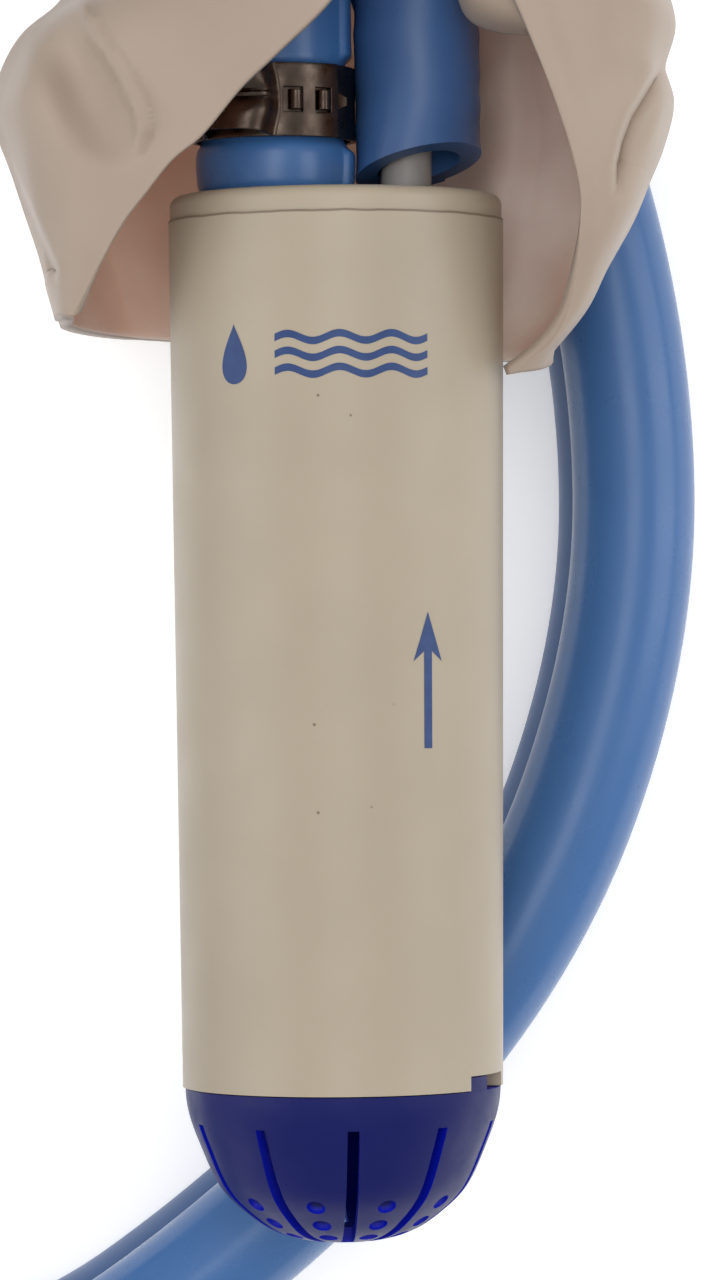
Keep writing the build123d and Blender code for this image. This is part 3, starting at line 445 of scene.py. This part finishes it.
def beside(line, x, y):
    """How far a place is to the left of a line, and its share along the line."""
    best, place = 1e9, Vector((x, y))
    steps = list(zip(line, line[1:]))
    for i, (a, b) in enumerate(steps):
        a, run = Vector(a), Vector(b) - Vector(a)
        share = max(0.0, min(1.0, (place - a).dot(run) / run.length_squared))
        gap = place - (a + run * share)
        if gap.length < abs(best):
            left = run.x * gap.y - run.y * gap.x
            best, along = math.copysign(gap.length, left), (i + share) / len(steps)
    return best, along


def route_curve(name, route):
    """A NURBS curve with the route's points as its control points."""
    curve = bpy.data.curves.new(name, "CURVE")
    curve.dimensions = "3D"
    curve.resolution_u = 14
    spline = curve.splines.new("NURBS")
    spline.points.add(len(route) - 1)
    for point, place in zip(spline.points, route):
        point.co = [c * MM for c in place] + [1]
    spline.order_u = 3
    spline.use_endpoint_u = True
    return link(bpy.data.objects.new(name, curve))


def route_line(route):
    """Points along the route's NURBS spline."""
    guide = route_curve("guide", route)
    mesh = bpy.data.meshes.new_from_object(guide)
    line = [v.co.copy() for v in mesh.vertices]
    bpy.data.objects.remove(guide)
    bpy.data.meshes.remove(mesh)
    return line


def tangents(line):
    """The line's direction at each of its points."""
    ends = [line[0]] + line + [line[-1]]
    return [(b - a).normalized() for a, b in zip(ends, ends[2:])]


def twin_directions(line, partner):
    """From each point of one tube towards the other tube of the pair."""
    found = []
    for place, along in zip(line, tangents(line)):
        nearest = min(partner, key=lambda p: (p - place).length_squared)
        away = nearest - place
        away -= along * away.dot(along)
        found.append(away.normalized() if away.length > 1e-5 else Vector((0, 0, -1)))
    smoothing = 3
    return [sum(found[max(0, i - smoothing):i + smoothing + 1], Vector()).normalized()
            for i in range(len(found))]


def step_down(at, softness):
    """1 well before zero, 0 well after it."""
    return 1 / (1 + math.exp(max(-30.0, min(30.0, at / softness))))


def tube_section(radius, ridge, ridge_width):
    """(angle from the partner tube, radius) round one tube of a twin hose, with the split web's ridge."""
    near = [ridge_width * share for share in (0.5, 0.85, 0.97, 1.03, 1.12, 1.5)]
    degrees = [-a for a in reversed(near)] + near
    free, steps = 360 - 2 * near[-1], 41
    degrees += [near[-1] + free * i / steps for i in range(1, steps)]
    section = []
    for a in degrees:
        rise = ridge * step_down(abs((a + 180) % 360 - 180) / ridge_width - 1, 0.02)
        section.append((math.radians(a), radius + rise))
    return section


def tube_rings(line, partner, section, cut=None):
    """Rings of points along a line; cut(offset) shifts the first ring along the tube."""
    points = []
    for i, (place, along, side) in enumerate(zip(line, tangents(line), twin_directions(line, partner))):
        up = along.cross(side).normalized()
        for angle, radius in section:
            offset = side * math.cos(angle) * radius + up * math.sin(angle) * radius
            point = place + offset
            if cut and i < 2:
                point += along * cut(offset)
            points.append(point)
    return points


# ---------------------------------------------------------------- what a user would change
def length(name, description, default_mm):
    return bpy.props.FloatProperty(name=name, description=description, default=default_mm * MM,
                                   unit="LENGTH", precision=5)


def shade(name, description, hex_code):
    return bpy.props.FloatVectorProperty(name=name, description=description, default=linear(hex_code),
                                         subtype="COLOR", size=4, min=0, max=1)


class HoseSizes(bpy.types.PropertyGroup):
    hose_radius: length("Hose radius", "Outside radius of each tube", 7.75)
    bore_radius: length("Bore radius", "Inside radius of each tube", 5.1)
    stretched_radius: length("Stretched radius", "Outside radius over the tail", 9.45)
    cable_radius: length("Cable radius", "Radius of the power cable", 3.1)
    web_height: length("Web height", "Height of the ridge left by the split web", 0.7)


class CoverSizes(bpy.types.PropertyGroup):
    wall: length("Wall", "Thickness of the rubber", 1.5)


class ClampSizes(bpy.types.PropertyGroup):
    strip: length("Strip", "Thickness of the steel strip", 0.55)


class PrintSizes(bpy.types.PropertyGroup):
    arrow_length: length("Arrow length", "Length of the flow arrow", 16.3)
    ink_height: length("Ink height", "How far the ink stands off the casing", 0.03)


class FinishColours(bpy.types.PropertyGroup):
    casing_dark: shade("Casing, darker", "Darker shade of the cream casing and cap", "#9D917F")
    casing_light: shade("Casing, lighter", "Lighter shade of the cream casing and cap", "#A79B88")
    cover_dark: shade("Cover, darker", "Darker shade of the dust cover's outside", "#9B8A7C")
    cover_light: shade("Cover, lighter", "Lighter shade of the dust cover's outside", "#A49485")
    # painted light: the inside's two colours are a paler copy of the outside rubber's, for light through the
    # wall
    inside_painted_lit_dark: shade("Lining, darker", "Darker shade of the dust cover's inside", "#C8B2A8")
    inside_painted_lit_light: shade("Lining, lighter", "Lighter shade of the dust cover's inside", "#DECFC6")
    hose_dark: shade("Hose, darker", "Darker shade of the water hose", "#376196")
    hose_light: shade("Hose, lighter", "Lighter shade of the water hose", "#3F699F")
    # painted shade: the sleeve's two colours are a darker copy of the hose's, for the shade the cover casts
    # on it
    sleeve_shade_dark: shade("Sleeve, darker", "Darker shade of the cable sleeve", "#2E4E7D")
    sleeve_shade_light: shade("Sleeve, lighter", "Lighter shade of the cable sleeve", "#3A5D8E")
    cable_dark: shade("Cable, darker", "Darker shade of the power cable", "#888481")
    cable_light: shade("Cable, lighter", "Lighter shade of the power cable", "#94908D")
    strainer_skin: shade("Strainer", "The strainer's outside", "#0B1355")
    # painted light: the slots' walls are painted a brighter blue than the navy skin
    strainer_lit_walls: shade("Strainer slots", "Walls of the strainer's slots and pits", "#0413A0")
    clamp_dark: shade("Clamp, darker", "Darker shade of the clamp's steel", "#423832")
    clamp_light: shade("Clamp, lighter", "Lighter shade of the clamp's steel", "#5C5149")
    ink_dark: shade("Ink, darker", "Darker shade of the casing's print", "#213765")
    ink_light: shade("Ink, lighter", "Lighter shade of the casing's print", "#2B4474")


class StageSettings(bpy.types.PropertyGroup):
    camera_distance: length("Camera distance", "From the pump's axis", 700)
    camera_x: length("Camera sideways", "From the pump's axis to its right", 1.74)
    camera_y: length("Camera along", "Along the pump, from the frame's origin", -15.9)
    camera_roll: bpy.props.FloatProperty(name="Camera roll", description="Turn about the line of sight",
                                         default=math.radians(-0.49), unit="ROTATION", precision=4)
    lens: bpy.props.FloatProperty(name="Lens", description="Focal length in millimetres", default=160.8)
    light_power: bpy.props.FloatProperty(name="Light power", description="Watts that the softboxes share",
                                         default=9.5)
    room_light: bpy.props.FloatProperty(name="Room light", description="Strength of the white surroundings",
                                        default=0.52)


# ---------------------------------------------------------------- operators
class PUMP_OT_stage(bpy.types.Operator):
    """Camera over the pump, white floor and soft studio light"""
    bl_idname = "pump.stage"
    bl_label = "Stage"

    def execute(self, context):
        settings = context.scene.pump_stage
        context.scene.view_settings.view_transform = "Standard"
        self.camera(context.scene, settings)
        self.floor()
        power = settings.light_power
        self.light("overhead_softbox", (0.05, 0.15, 1.3), power * 0.25, 0.5)
        ceiling = self.light("ceiling_softbox", (-0.1, 0.1, 1.5), power * 1.3, 1.6)
        ceiling.visible_glossy = False      # the ceiling lights the scene but has no mirror image in it
        self.light("right_softbox", (0.85, 0.05, 0.5), power * 0.25, 0.5)
        self.light("left_softbox", (-0.85, -0.05, 0.5), power * 0.25, 0.5)
        world = bpy.data.worlds.new("studio")
        world.use_nodes = True
        background = world.node_tree.nodes["Background"]
        background.inputs["Color"].default_value = linear("#FFFFFF")
        background.inputs["Strength"].default_value = settings.room_light
        context.scene.world = world
        return {"FINISHED"}

    def camera(self, scene, settings):
        """Straight above the casing, looking down."""
        lens = bpy.data.cameras.new("camera")
        lens.lens = settings.lens
        lens.sensor_width = 36
        lens.clip_start = 0.05
        camera = link(bpy.data.objects.new("camera", lens))
        camera.location = (PUMP_X + settings.camera_x, settings.camera_y, PUMP_Z + settings.camera_distance)
        camera.rotation_euler = (0, 0, settings.camera_roll)
        scene.camera = camera

    def floor(self):
        """A square sheet round the origin, just under the lowest piece."""
        mesh = bpy.data.meshes.new("floor")
        reach, rows = 2.0, 8
        points = [(x * reach / rows * 2 - reach, y * reach / rows * 2 - reach, FLOOR_Z)
                  for y in range(rows + 1) for x in range(rows + 1)]
        mesh.from_pydata(points, [], rings_to_faces(rows + 1, rows + 1, closed=False))
        mesh.materials.append(studio_floor())
        floor = link(bpy.data.objects.new("floor", mesh))

    def light(self, name, place, power, size):
        """A white softbox that faces the pump."""
        lamp = bpy.data.lights.new(name, "AREA")
        lamp.energy = power
        lamp.shape = "RECTANGLE"
        lamp.size = size
        lamp.size_y = size * 1.4
        made = link(bpy.data.objects.new(name, lamp))
        made.location = place
        made.rotation_euler = (Vector((0, 0, PUMP_Z)) - Vector(place)).to_track_quat("-Z", "Y").to_euler()
        return made


class PUMP_OT_hoses(bpy.types.Operator):
    """Water hose, cable sleeve and power cable along their routes"""
    bl_idname = "pump.hoses"
    bl_label = "Hoses and cable"

    def execute(self, context):
        sizes, colours = context.scene.pump_hoses, context.scene.pump_colours
        hose_line, sleeve_line = route_line(HOSE_ROUTE), route_line(SLEEVE_ROUTE)
        blue = hose_pvc(colours)
        self.water_hose(sizes, hose_line, sleeve_line, blue)
        self.hose_end(sizes, blue)
        self.cable_sleeve(sizes, hose_line, sleeve_line, pvc_sleeve_shaded(colours))
        self.power_cable(sizes, cable_pvc(colours))
        return {"FINISHED"}

    def water_hose(self, sizes, line, partner, finish):
        """The long tube from the end of the tail to the plug, shut at both ends."""
        section = tube_section(sizes.hose_radius, sizes.web_height, TUBE_WEB)
        points = tube_rings(line, partner, section)
        columns = len(section)
        faces = rings_to_faces(len(line), columns)
        faces += [tuple(range(columns)), tuple(range(len(points) - columns, len(points)))]
        hose = mesh_piece("water_hose_tube", points, faces, finish, "pump")
        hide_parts("water_hose")

    def hose_end(self, sizes, finish):
        """The hose's first stretch, widened by the tail, pinched by the clamp and tapering after it."""
        wide = sizes.stretched_radius
        end = TAIL_END_Y + 8 * MM
        knots = [(CAP_Y, wide - 0.7 * MM), (CAP_Y + 0.8 * MM, wide - 0.2 * MM), (CAP_Y + 2 * MM, wide),
                 (BAND_Y0 - 1.9 * MM, wide + 0.1 * MM), (BAND_Y0 - 0.8 * MM, wide - 0.15 * MM),
                 (BAND_Y0 - 0.2 * MM, wide - 0.55 * MM), (BAND_Y0 + 0.3 * MM, wide - 0.7 * MM),
                 (BAND_Y1 - 0.3 * MM, wide - 0.7 * MM), (BAND_Y1 + 0.2 * MM, wide - 0.5 * MM),
                 (BAND_Y1 + 1.0 * MM, wide - 0.3 * MM), (BAND_Y1 + 2.2 * MM, wide - 0.3 * MM),
                 (TAIL_END_Y - 2 * MM, wide - 0.5 * MM), (end - 2 * MM, sizes.hose_radius + 0.1 * MM),
                 (end, sizes.hose_radius)]
        section = tube_section(0.0, sizes.web_height, STRETCHED_WEB)
        margin, fading = 0.8 * MM, 9 * MM       # the ridge ends beside the band, and narrows before the end
        rows, points = 150, []
        for i in range(rows):
            y = CAP_Y + (end - CAP_Y) * i / (rows - 1)
            gap = max(BAND_Y0 - margin - y, y - BAND_Y1 - margin)
            taper = between([(0, 1), (1, 0.27)], (y - end + fading) / fading)
            for angle, ridge in section:
                radius = between(knots, y) + ridge * min(1.0, max(0.0, gap / margin)) * taper
                points.append((TAIL_X + radius * math.cos(angle), y, PUMP_Z + radius * math.sin(angle)))
        columns = len(section)
        faces = rings_to_faces(rows, columns) + [tuple(range(columns))]
        mesh_piece("water_hose_end", points, faces, finish, "pump")

    def cable_sleeve(self, sizes, partner, line, finish):
        """Cut off short of the cap: a slanted end with its bore open."""
        slope_up, slope_side = math.tan(math.radians(13)), math.tan(math.radians(11))

        def slant(offset):
            return offset.z * slope_up + offset.x * slope_side + 0.4 * MM

        section = tube_section(sizes.hose_radius, sizes.web_height, TUBE_WEB)
        bore = [(angle, sizes.bore_radius) for angle, radius in section]
        depth = 14          # rings of the bore that are drawn
        outer = tube_rings(line, partner, section, slant)
        inner = tube_rings(line[:depth], partner, bore, slant)
        points = outer + inner
        columns, start = len(section), len(outer)
        faces = rings_to_faces(len(line), columns) + [tuple(range(start - columns, start))]
        faces += [tuple(start + k for k in f) for f in rings_to_faces(depth, columns)]
        faces += [(j, (j + 1) % columns, start + (j + 1) % columns, start + j) for j in range(columns)]
        faces.append(tuple(range(len(points) - columns, len(points))))
        sleeve = mesh_piece("cable_sleeve_tube", points, faces, finish, "pump")
        sharp_edges(sleeve, 50)
        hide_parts("cable_sleeve")

    def power_cable(self, sizes, finish):
        """The round cable that shows between the cap and the sleeve, and runs on inside it."""
        cable = route_curve("power_cable_jacket", CABLE_ROUTE)
        cable.data.bevel_depth = sizes.cable_radius
        cable.data.bevel_resolution = 6
        cable.data.use_fill_caps = True
        cable.data.materials.append(finish)
        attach(cable, "pump")
        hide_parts("power_cable")


class PUMP_OT_cover(bpy.types.Operator):
    """Soft dust cover, crumpled round the hoses"""
    bl_idname = "pump.cover"
    bl_label = "Dust cover"

    def execute(self, context):
        wall, colours = context.scene.pump_cover.wall, context.scene.pump_colours
        rubber, inside_painted_lit = cover_rubber(colours), cover_inside_painted_lit(colours)
        rows, columns = 200, 420
        points = [self.surface(i / (rows - 1), j / (columns - 1))
                  for i in range(rows) for j in range(columns)]
        skin = mesh_piece("dust_cover_skin", points, rings_to_faces(rows, columns, closed=False), rubber,
                          "dust_cover")
        skin.data.materials.append(inside_painted_lit)
        self.thicken(skin, wall)
        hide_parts("dust_cover")
        self.curl(wall * 0.8, rubber)
        return {"FINISHED"}

    def section(self, y):
        """The outline across the pump at one y, from the left flap's edge, under, to the right one's."""
        left, left_rim = between(COVER_LEFT_SIDE, y), between(COVER_LEFT_RIM, y)
        right, right_rim = between(COVER_RIGHT_SIDE, y), between(COVER_RIGHT_RIM, y)
        top = between([(16, 60), (24, 65), (34, 70), (50, 73), (66, 72), (74, 69), (79, 63.4), (89, 63.2)],
                      y)
        low = between([(16, 9), (60, 6), (70, 10), (76, 23), (79, 36.4), (89, 36.6)], y)
        over = between([(16, 36), (62, 36), (72, 37.5), (79, 38), (89, 38)], y)     # above the loop of hose
        side_z = between([(16, 40), (50, 47), (70, 49), (79, 50), (89, 50)], y)
        left_flap, right_flap = left_rim - left, right - right_rim
        return [
            (left_rim, top),
            (left + left_flap * 0.66, top - 0.8),
            (left + left_flap * 0.36, top - 3.2),
            (left + left_flap * 0.12, top - 8.5),
            (left + left_flap * 0.01, side_z + 6),
            (left, side_z),
            (left * 0.96, side_z - 12),
            (left * 0.84, low + (side_z - low) * 0.22),
            (left * 0.58, low + 3),
            (left * 0.3, low),
            (0.0, low - 2),
            (7 + (right - 40) * 0.1, low - 1.0),
            (14 + (right - 40) * 0.25, low + (over - low) * 0.42),
            (18 + (right - 40) * 0.45, over - 3),
            (25 + (right - 40) * 0.6, over),
            (right - 3.5, over + 2),
            (right, over + (top - over) * 0.4),
            (right - right_flap * 0.12, top - 8),
            (right - right_flap * 0.4, top - 2.5),
            (right_rim, top - 1),
        ]

    def surface(self, v, u):
        """A point of the middle of the wall; v runs from neck to rim, u round the cover."""
        rim_y = between([(0, 23.4), (0.12, 23.6), (0.3, 23.8), (0.42, 22.6), (0.5, 21), (0.65, 19),
                         (0.8, 18.5), (1, 16.5)], u)
        y = COVER_NECK_Y + (rim_y - COVER_NECK_Y) * v
        outline = self.section(y)
        last = len(outline) - 1
        x, z = (between([(i / last, place[axis]) for i, place in enumerate(outline)], u) for axis in (0, 1))
        under, over = 0.15, 0.9         # shallow folds run down the hidden sides, and fade out at the flaps
        if under < u < over:
            wave = math.sin(u * 46 + 2 * v) * 0.7 + math.sin(u * 23 - 3 * v) * 0.9
            fold = min(1.0, (u - under) * 8, (over - u) * 8) * min(1.0, v * 3)
            x += wave * fold
            z += abs(wave) * fold * 0.8
        if 0 < v:
            z += self.relief(x, y) * min(1.0, max(0.0, (z - 34) / 6))
        return Vector((x * MM, y * MM, z * MM))

    def relief(self, x, y):
        """Rise of the upper flaps at a place, from the creases and dents."""
        rise, bank_reach = 0.0, 12
        for line, height, width, sink in COVER_CREASES:
            side, share = beside(line, x, y)
            fade = min(1.0, share * 5, (1 - share) * 5)
            rise += height * fade * math.exp(-(side / width) ** 2)
            if sink and abs(side) < bank_reach:
                bank = step_down(-side, 0.15) * min(1.0, (bank_reach - abs(side)) / 5)
                rise -= sink * fade * bank * (0.6 + 0.4 * math.exp(-((side - 0.6) / 0.8) ** 2))
        for at_x, at_y, half_x, half_y, turn, depth in COVER_DENTS:
            turned = Matrix.Rotation(-math.radians(turn), 2) @ Vector((x - at_x, y - at_y))
            reach = math.hypot(turned.x / half_x, turned.y / half_y)
            rise -= depth * (1 - min(1.0, reach) ** 2) ** 1.5
        return rise

    def curl(self, wall, rubber):
        """A tongue of the right flap's edge, folded back under it beside the sleeve."""
        edge_x = [(0, 15.2), (0.25, 15.6), (0.5, 17.0), (0.75, 20.2), (1, 24)]
        edge_y = [(0, 66), (0.25, 61.5), (0.5, 59), (0.75, 57.8), (1, 57.5)]
        root_x = [(0, 18), (0.5, 20.6), (1, 25.4)]
        root_y = [(0, 69), (0.5, 63.5), (1, 59)]
        edge_z, root_z = 59.5, 69
        rows, columns = 14, 30
        points = []
        for i in range(rows + 1):
            across = i / rows
            bow = math.sin(across * math.pi) * 2.2
            for j in range(columns + 1):
                along = j / columns
                edge = Vector((between(edge_x, along), between(edge_y, along), edge_z))
                root = Vector((between(root_x, along), between(root_y, along), root_z))
                points.append((edge.lerp(root, across) + Vector((-0.6 * bow, -0.3 * bow, bow))) * MM)
        flap = mesh_piece("dust_cover_curl", points, rings_to_faces(rows + 1, columns + 1, closed=False),
                          rubber, "dust_cover")
        flap.data.materials.append(rubber)
        self.thicken(flap, wall)

    def thicken(self, sheet, wall):
        """Gives a sheet its wall, with its second material on the inside."""
        shell = sheet.modifiers.new("wall", "SOLIDIFY")
        shell.thickness = wall
        shell.offset = 0
        shell.material_offset = 1
        shell.material_offset_rim = 0
        apply_modifiers(sheet)


class PUMP_OT_clamp(bpy.types.Operator):
    """Crimped ear clamp: a band with two hook windows and a pinched ear"""
    bl_idname = "pump.clamp"
    bl_label = "Ear clamp"

    def execute(self, context):
        strip = context.scene.pump_clamp.strip
        finish = clamp_stainless(context.scene.pump_colours)
        radius = context.scene.pump_hoses.stretched_radius + strip / 2
        band = self.strip("clamp_band", strip, 0, 360, 240, radius, finish)
        self.strip("clamp_overlap", strip, -1, 49, 60, radius + strip, finish, CLAMP_WINDOWS)
        self.ear(strip * 0.9, radius + strip, finish)
        for i, degrees in enumerate(CLAMP_HOOKS):
            self.hook(f"clamp_hook_{i + 1}", degrees, radius + 0.25 * MM, finish)
        self.tang(radius + strip, finish)
        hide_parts("hose_clamp")
        return {"FINISHED"}

    def place(self, degrees, radius, along):
        """A place at an angle from the clamp's top line, towards the cable, and along it."""
        turn = math.radians(degrees)
        return (TAIL_X + radius * math.sin(turn), BAND_MIDDLE + along, PUMP_Z + radius * math.cos(turn))

    def sheet(self, name, points, faces, finish, thickness):
        """A bent sheet of steel with its edges broken."""
        made = mesh_piece(name, points, faces, finish, "pump")
        wall = made.modifiers.new("wall", "SOLIDIFY")
        wall.thickness = thickness
        wall.offset = 0
        edge = made.modifiers.new("edge", "BEVEL")
        edge.width = 0.08 * MM
        edge.segments = 2
        edge.limit_method = "ANGLE"
        apply_modifiers(made)
        return made

    def strip(self, name, thickness, start, end, columns, radius, finish, windows=()):
        """Part of the band between two angles, with its windows left open."""
        rows, window_half = 24, 1.45 * MM
        closed = end - start == 360
        count = columns if closed else columns + 1
        points = [self.place(start + (end - start) * j / columns, radius, BAND_HALF * (2 * i / rows - 1))
                  for i in range(rows + 1) for j in range(count)]
        faces = []
        for face in rings_to_faces(rows + 1, count, closed):
            degrees = start + (end - start) * (face[0] % count + 0.5) / columns
            along = abs(BAND_HALF * (2 * (face[0] // count + 0.5) / rows - 1))
            if along >= window_half or not any(low < degrees < high for low, high in windows):
                faces.append(face)
        return self.sheet(name, points, faces, finish, thickness)

    def ear(self, thickness, radius, finish):
        """Hollow arch of the strip, narrower at its crown, pinched in the middle with a rib across."""
        rise = [(-56, 0.0), (-50, 0.15), (-45, 1.0), (-40, 2.4), (-34, 3.2), (-24, 3.4), (-13, 3.2),
                (-6, 2.4), (-2, 1.0), (2, 0.15), (8, 0.0)]
        crown_mm, rib_place = 3.4, 0.6 * MM
        points, rows, columns = [], 40, 70
        for i in range(rows + 1):
            across = 2 * i / rows - 1
            off_rib = across * BAND_HALF - rib_place
            pinch = math.exp(-(off_rib / (1.5 * MM)) ** 2)
            rib = math.exp(-(off_rib / (0.28 * MM)) ** 2)
            bend = 2.2 * math.cos(across * math.pi * 0.8)
            for j in range(columns + 1):
                degrees = -54 + 60 * j / columns
                height = max(0.0, between(rise, degrees - bend))
                crown = height / crown_mm
                height -= crown * (1.3 * pinch - 0.6 * rib)
                along = across * BAND_HALF * (1 - 0.16 * crown)
                points.append(self.place(degrees, radius + height * MM, along))
        faces = rings_to_faces(rows + 1, columns + 1, closed=False)
        self.sheet("clamp_ear", points, faces, finish, thickness)

    def hook(self, name, degrees, radius, finish):
        """A tongue of the inner strip, bulging through a window."""
        half_turn, half_width, bulge = 4.6, 1.2 * MM, 0.95 * MM
        points, rows, columns = [], 10, 14
        for i in range(rows + 1):
            for j in range(columns + 1):
                across = 2 * j / columns - 1
                rise = math.sqrt(max(0.0, 1 - across**2)) * bulge
                points.append(self.place(degrees + across * half_turn, radius + rise,
                                         half_width * (2 * i / rows - 1)))
        faces = rings_to_faces(rows + 1, columns + 1, closed=False)
        self.sheet(name, points, faces, finish, 0.3 * MM)

    def tang(self, radius, finish):
        """The strip's pointed end, bent up beside the sleeve."""
        points, rows, columns = [], 8, 10
        for i in range(rows + 1):
            share = i / rows
            for j in range(columns + 1):
                across = (2 * j / columns - 1) * (1.3 - 0.8 * share) * MM
                points.append(self.place(47 + 9 * share, radius + (0.1 + 0.5 * share**2) * MM, across))
        faces = rings_to_faces(rows + 1, columns + 1, closed=False)
        self.sheet("clamp_tang", points, faces, finish, 0.3 * MM)


class PUMP_OT_print(bpy.types.Operator):
    """Flow arrow and a plain drop and wave mark on the casing"""
    bl_idname = "pump.print"
    bl_label = "Casing print"

    def execute(self, context):
        sizes = context.scene.pump_print
        ink = print_ink(context.scene.pump_colours)
        self.decal("flow_arrow", [self.arrow(sizes.arrow_length)], 32, ink, sizes.ink_height)
        waves = [self.wave(20.2 * MM - row * 2.0 * MM) for row in range(3)]
        self.decal("wave_mark", waves, 5.5, ink, sizes.ink_height)
        self.decal("drop_mark", [self.drop()], -37, ink, sizes.ink_height)
        return {"FINISHED"}

    def arrow(self, length):
        """Arrow towards the outlet, with a barbed head."""
        tip, head, shaft, barb, notch = -12.6 * MM, 5.9 * MM, 0.55 * MM, 2.0 * MM, 1.2 * MM
        foot, neck = tip - length, tip - head + notch
        return [(0, tip), (barb, tip - head), (shaft, neck), (shaft, foot), (-shaft, foot), (-shaft, neck),
                (-barb, tip - head)]

    def wave(self, middle):
        """One wavy line of three waves."""
        length, half, swell, steps = 19 * MM, 0.45 * MM, 0.45 * MM, 60
        top = [(length * (i / steps - 0.5), middle + half + swell * math.sin(i / steps * 6 * math.pi))
               for i in range(steps + 1)]
        return top + [(x, y - 2 * half) for x, y in reversed(top)]

    def drop(self):
        """A water drop, its point towards the outlet."""
        middle, half_width, half_height, steps = 18.4 * MM, 2.6 * MM, 3.6 * MM, 48
        turns = [2 * math.pi * i / steps for i in range(steps)]
        return [(half_width * math.sin(t) * math.sin(t / 2) ** 1.4, middle + half_height * math.cos(t))
                for t in turns]

    def decal(self, name, outlines, degrees, ink, height):
        """Flat outlines, (along the surface, y), wrapped on the tapered casing at an angle from its top."""
        fresh = bmesh.new()
        for outline in outlines:
            corners = [fresh.verts.new((x, y, 0)) for x, y in outline]
            fresh.faces.new(corners)
        bmesh.ops.triangulate(fresh, faces=fresh.faces)
        long_edges = [edge for edge in fresh.edges if edge.calc_length() > 1.0 * MM]
        bmesh.ops.subdivide_edges(fresh, edges=long_edges, cuts=3)
        bmesh.ops.triangulate(fresh, faces=fresh.faces)
        for vert in fresh.verts:
            share = (vert.co.y - FOOT_Y) / (LIP_Y - FOOT_Y)
            radius = FOOT_R + (LIP_R - FOOT_R) * share + height
            turn = math.radians(degrees) + vert.co.x / radius
            vert.co = (PUMP_X + radius * math.sin(turn), vert.co.y, PUMP_Z + radius * math.cos(turn))
        mesh = bpy.data.meshes.new(name)
        fresh.to_mesh(mesh)
        fresh.free()
        made = link(bpy.data.objects.new(name, mesh))
        mesh.materials.append(ink)
        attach(made, "pump")


class PUMP_OT_finishes(bpy.types.Operator):
    """A finish for every piece of the model that shows as it is"""
    bl_idname = "pump.finishes"
    bl_label = "Finishes"

    def execute(self, context):
        colours = context.scene.pump_colours
        finishes = inner_finishes()
        finishes["casing_plastic"] = casing_abs(colours)
        finishes["strainer_plastic"] = strainer_pp(colours)
        for part in frame["record"]["subparts"]:
            if part["material_slot"] in finishes:       # the others are replaced by drawn pieces
                mesh = frame["nodes"][part["node"]].data
                mesh.materials.clear()
                mesh.materials.append(finishes[part["material_slot"]])
        return {"FINISHED"}


class PUMP_PT_panel(bpy.types.Panel):
    """Shows the pump's settings and a button for each of its steps"""
    bl_idname = "PUMP_PT_panel"
    bl_label = "In-line pump"
    bl_space_type = "VIEW_3D"
    bl_region_type = "UI"
    bl_category = "Pump"

    def draw(self, context):
        for group in GROUPS:
            box = self.layout.box()
            settings = getattr(context.scene, group)
            for name in settings.__annotations__:
                box.prop(settings, name)
        for operator in OPERATORS:
            self.layout.operator(operator.bl_idname)


GROUPS = {"pump_stage": StageSettings, "pump_hoses": HoseSizes, "pump_cover": CoverSizes,
          "pump_clamp": ClampSizes, "pump_print": PrintSizes, "pump_colours": FinishColours}
OPERATORS = (PUMP_OT_stage, PUMP_OT_hoses, PUMP_OT_cover, PUMP_OT_clamp, PUMP_OT_print, PUMP_OT_finishes)


def register():
    for made in (*GROUPS.values(), *OPERATORS, PUMP_PT_panel):
        bpy.utils.register_class(made)
    for name, group in GROUPS.items():
        setattr(bpy.types.Scene, name, bpy.props.PointerProperty(type=group))


def unregister():
    for name in GROUPS:
        delattr(bpy.types.Scene, name)
    for made in (PUMP_PT_panel, *reversed(OPERATORS), *reversed(GROUPS.values())):
        bpy.utils.unregister_class(made)


def main():
    register()
    bpy.ops.pump.stage()
    bpy.ops.pump.hoses()
    bpy.ops.pump.cover()
    bpy.ops.pump.clamp()
    bpy.ops.pump.print()
    bpy.ops.pump.finishes()


if __name__ == "__main__":
    main()
